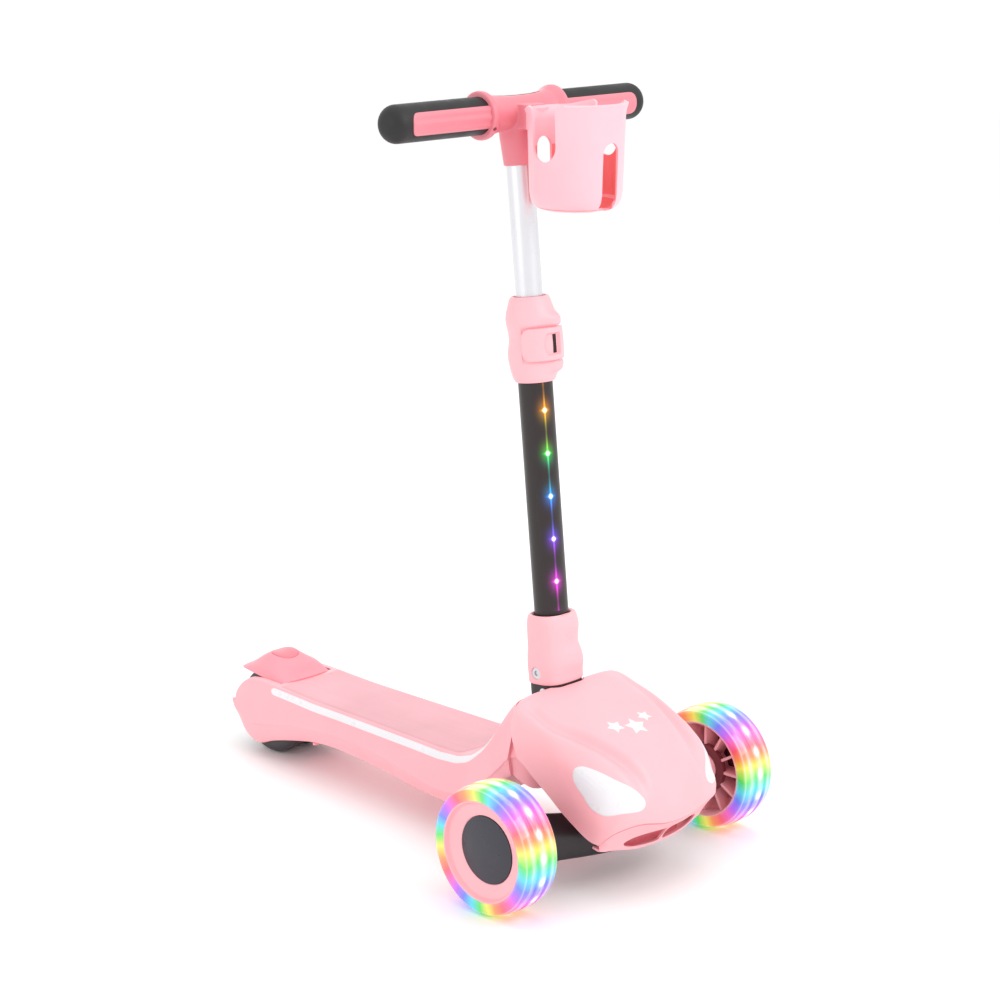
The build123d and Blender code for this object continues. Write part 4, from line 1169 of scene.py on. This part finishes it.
# -------- front wheels
def tyre_profile():
    profile = []
    for y in np.linspace(-19, 19, 77):
        groove = math.exp(-((abs(y) - 6.6) / 1.5) ** 2)
        profile.append((60 - 2.6 * abs(y / 19) ** 2.6 - 1.3 * groove, y))
    side = [(56.6, 19.7), (54.5, 20), (50, 20), (47.2, 19.6), (46.5, 18.8)]
    return [(r, -h) for r, h in reversed(side)] + profile + side


def build_wheel(side, name):
    base = Matrix.Translation(middle(f"front_{name}_tyre"))
    tyre = make(f"front_{name}_lit_tyre",
                lathe([(r, side * h) for r, h in tyre_profile()], 160, "Y", closed=False), base,
                outward=(0, 0, 0))
    dress(tyre, f"front_{name}_wheel", LIT_TYRE, "lit_tyre", f"front_{name}_tyre")
    face = rounded([(31.2, 9.5), (31.6, 11.0), (43.6, 15.2), (45.6, 19.4), (46.9, 19.6), (46.9, -19.4),
                    (45.4, -19.4), (44.0, -15), (43.8, -2), (36, 4)], 0.9, 3)
    disc = make(f"front_{name}_rim", lathe([(r, side * h) for r, h in face], 128, "Y", closed=False), base)
    dress(disc, f"front_{name}_wheel", PINK, "pink_plastic", f"front_{name}_hub")
    blades = []
    for k in range(12):
        a = math.radians(30 * k)
        blade = box((14, side * -12, -1.4), (44, side * 6, 1.4))
        turn = Matrix.Rotation(a, 3, "Y")
        blades.append(([turn @ Vector(p) for p in blade[0]], blade[1]))
    spokes = make(f"front_{name}_spokes", joined(*blades), base)
    dress(soften(crisp(spokes), 0.5), f"front_{name}_wheel", PINK, "pink_plastic")
    # Thin maroon sheet behind the spokes: painted shade standing for the dark hollow of the hub.
    well = lathe([(14, side * 6.4), (30, side * 6.4), (43.6, side * 5.0)], 96, "Y", closed=False)
    well = thicken(make(f"front_{name}_well", well, base, outward=(0, side * 40, 0)), 0.6)
    dress(well, f"front_{name}_wheel", RECESS_SHADE, "pink_plastic")
    boss = lathe([(r, side * h) for r, h in rounded([(6.5, -14.2), (14.6, -14.2), (15, 6)], 1.0)], 64, "Y",
                 closed=False)
    dress(make(f"front_{name}_boss", boss, base, outward=(0, side * 20, 0)), f"front_{name}_wheel", PINK,
          "pink_plastic")


for side, name in ((1, "left"), (-1, "right")):
    build_wheel(side, name)

# -------- carried-over CAD nodes
# The front light rings take the maroon painted shade, for the shade deep inside the hubs.
NODE_MATERIALS = {"front_left_light_ring": RECESS_SHADE, "front_right_light_ring": RECESS_SHADE, "lever_pin": PINK,
                  "deck_screws": DECK_PINK}
for node, obj in frame["nodes"].items():
    if not obj.hide_render:
        obj.data.materials.clear()
        finish = NODE_MATERIALS.get(node, SLOT_MATERIALS[SLOTS[node]])
        obj.data.materials.append(finish)

# -------- floor, light and camera
def build_floor():
    material = moulded("studio_floor", (0.975, 0.975, 0.975, 1.0), tone=0.003, rough=(0.75, 0.85), grain=0.0)
    floor = make("floor", grid(np.array([[(x, y, -0.5) for y in (-6000, 6000)] for x in (-6000, 6000)])),
                 Matrix.Identity(4), outward=(0, 0, -100))
    floor.data.materials.append(material)


def area_light(name, spot, aim, size, power, colour=(1, 1, 1)):
    light = bpy.data.lights.new(name, "AREA")
    light.shape = "RECTANGLE"
    light.size, light.size_y = size
    light.energy = power
    light.color = colour
    obj = bpy.data.objects.new(name, light)
    bpy.context.scene.collection.objects.link(obj)
    obj.location = spot
    obj.rotation_mode = "QUATERNION"
    obj.rotation_quaternion = (Vector(aim) - Vector(spot)).to_track_quat("-Z", "Y")


def build_camera():
    target = DECK @ Vector((-0.1319, -0.0112, 0.3290))
    azimuth, elevation, distance = math.radians(-44.89), math.radians(14.48), 2.3466
    back = Vector((math.cos(azimuth) * math.cos(elevation), math.sin(azimuth) * math.cos(elevation),
                   math.sin(elevation)))
    camera = bpy.data.cameras.new("camera")
    camera.lens = 90.38
    camera.sensor_width = 36.0
    obj = bpy.data.objects.new("camera", camera)
    bpy.context.scene.collection.objects.link(obj)
    obj.location = target + back * distance
    obj.rotation_mode = "QUATERNION"
    obj.rotation_quaternion = (-back).to_track_quat("-Z", "Y")
    bpy.context.scene.camera = obj


build_floor()
aim = (0.05, 0, 0.3)
area_light("key", (2.2, 0.6, 1.9), aim, (1.6, 1.6), 24)
area_light("fill", (-0.4, -2.6, 1.2), aim, (2.0, 1.6), 8)
area_light("top", (0, 0, 2.6), aim, (2.4, 2.4), 9)
area_light("back", (-2.2, 1.4, 1.4), aim, (1.6, 1.4), 8)
world = bpy.data.worlds.new("studio")
bpy.context.scene.world = world
world.use_nodes = True
world.node_tree.nodes["Background"].inputs["Color"].default_value = (1, 1, 1, 1)
world.node_tree.nodes["Background"].inputs["Strength"].default_value = 1.03
build_camera()
bpy.context.scene.view_settings.view_transform = "Standard"
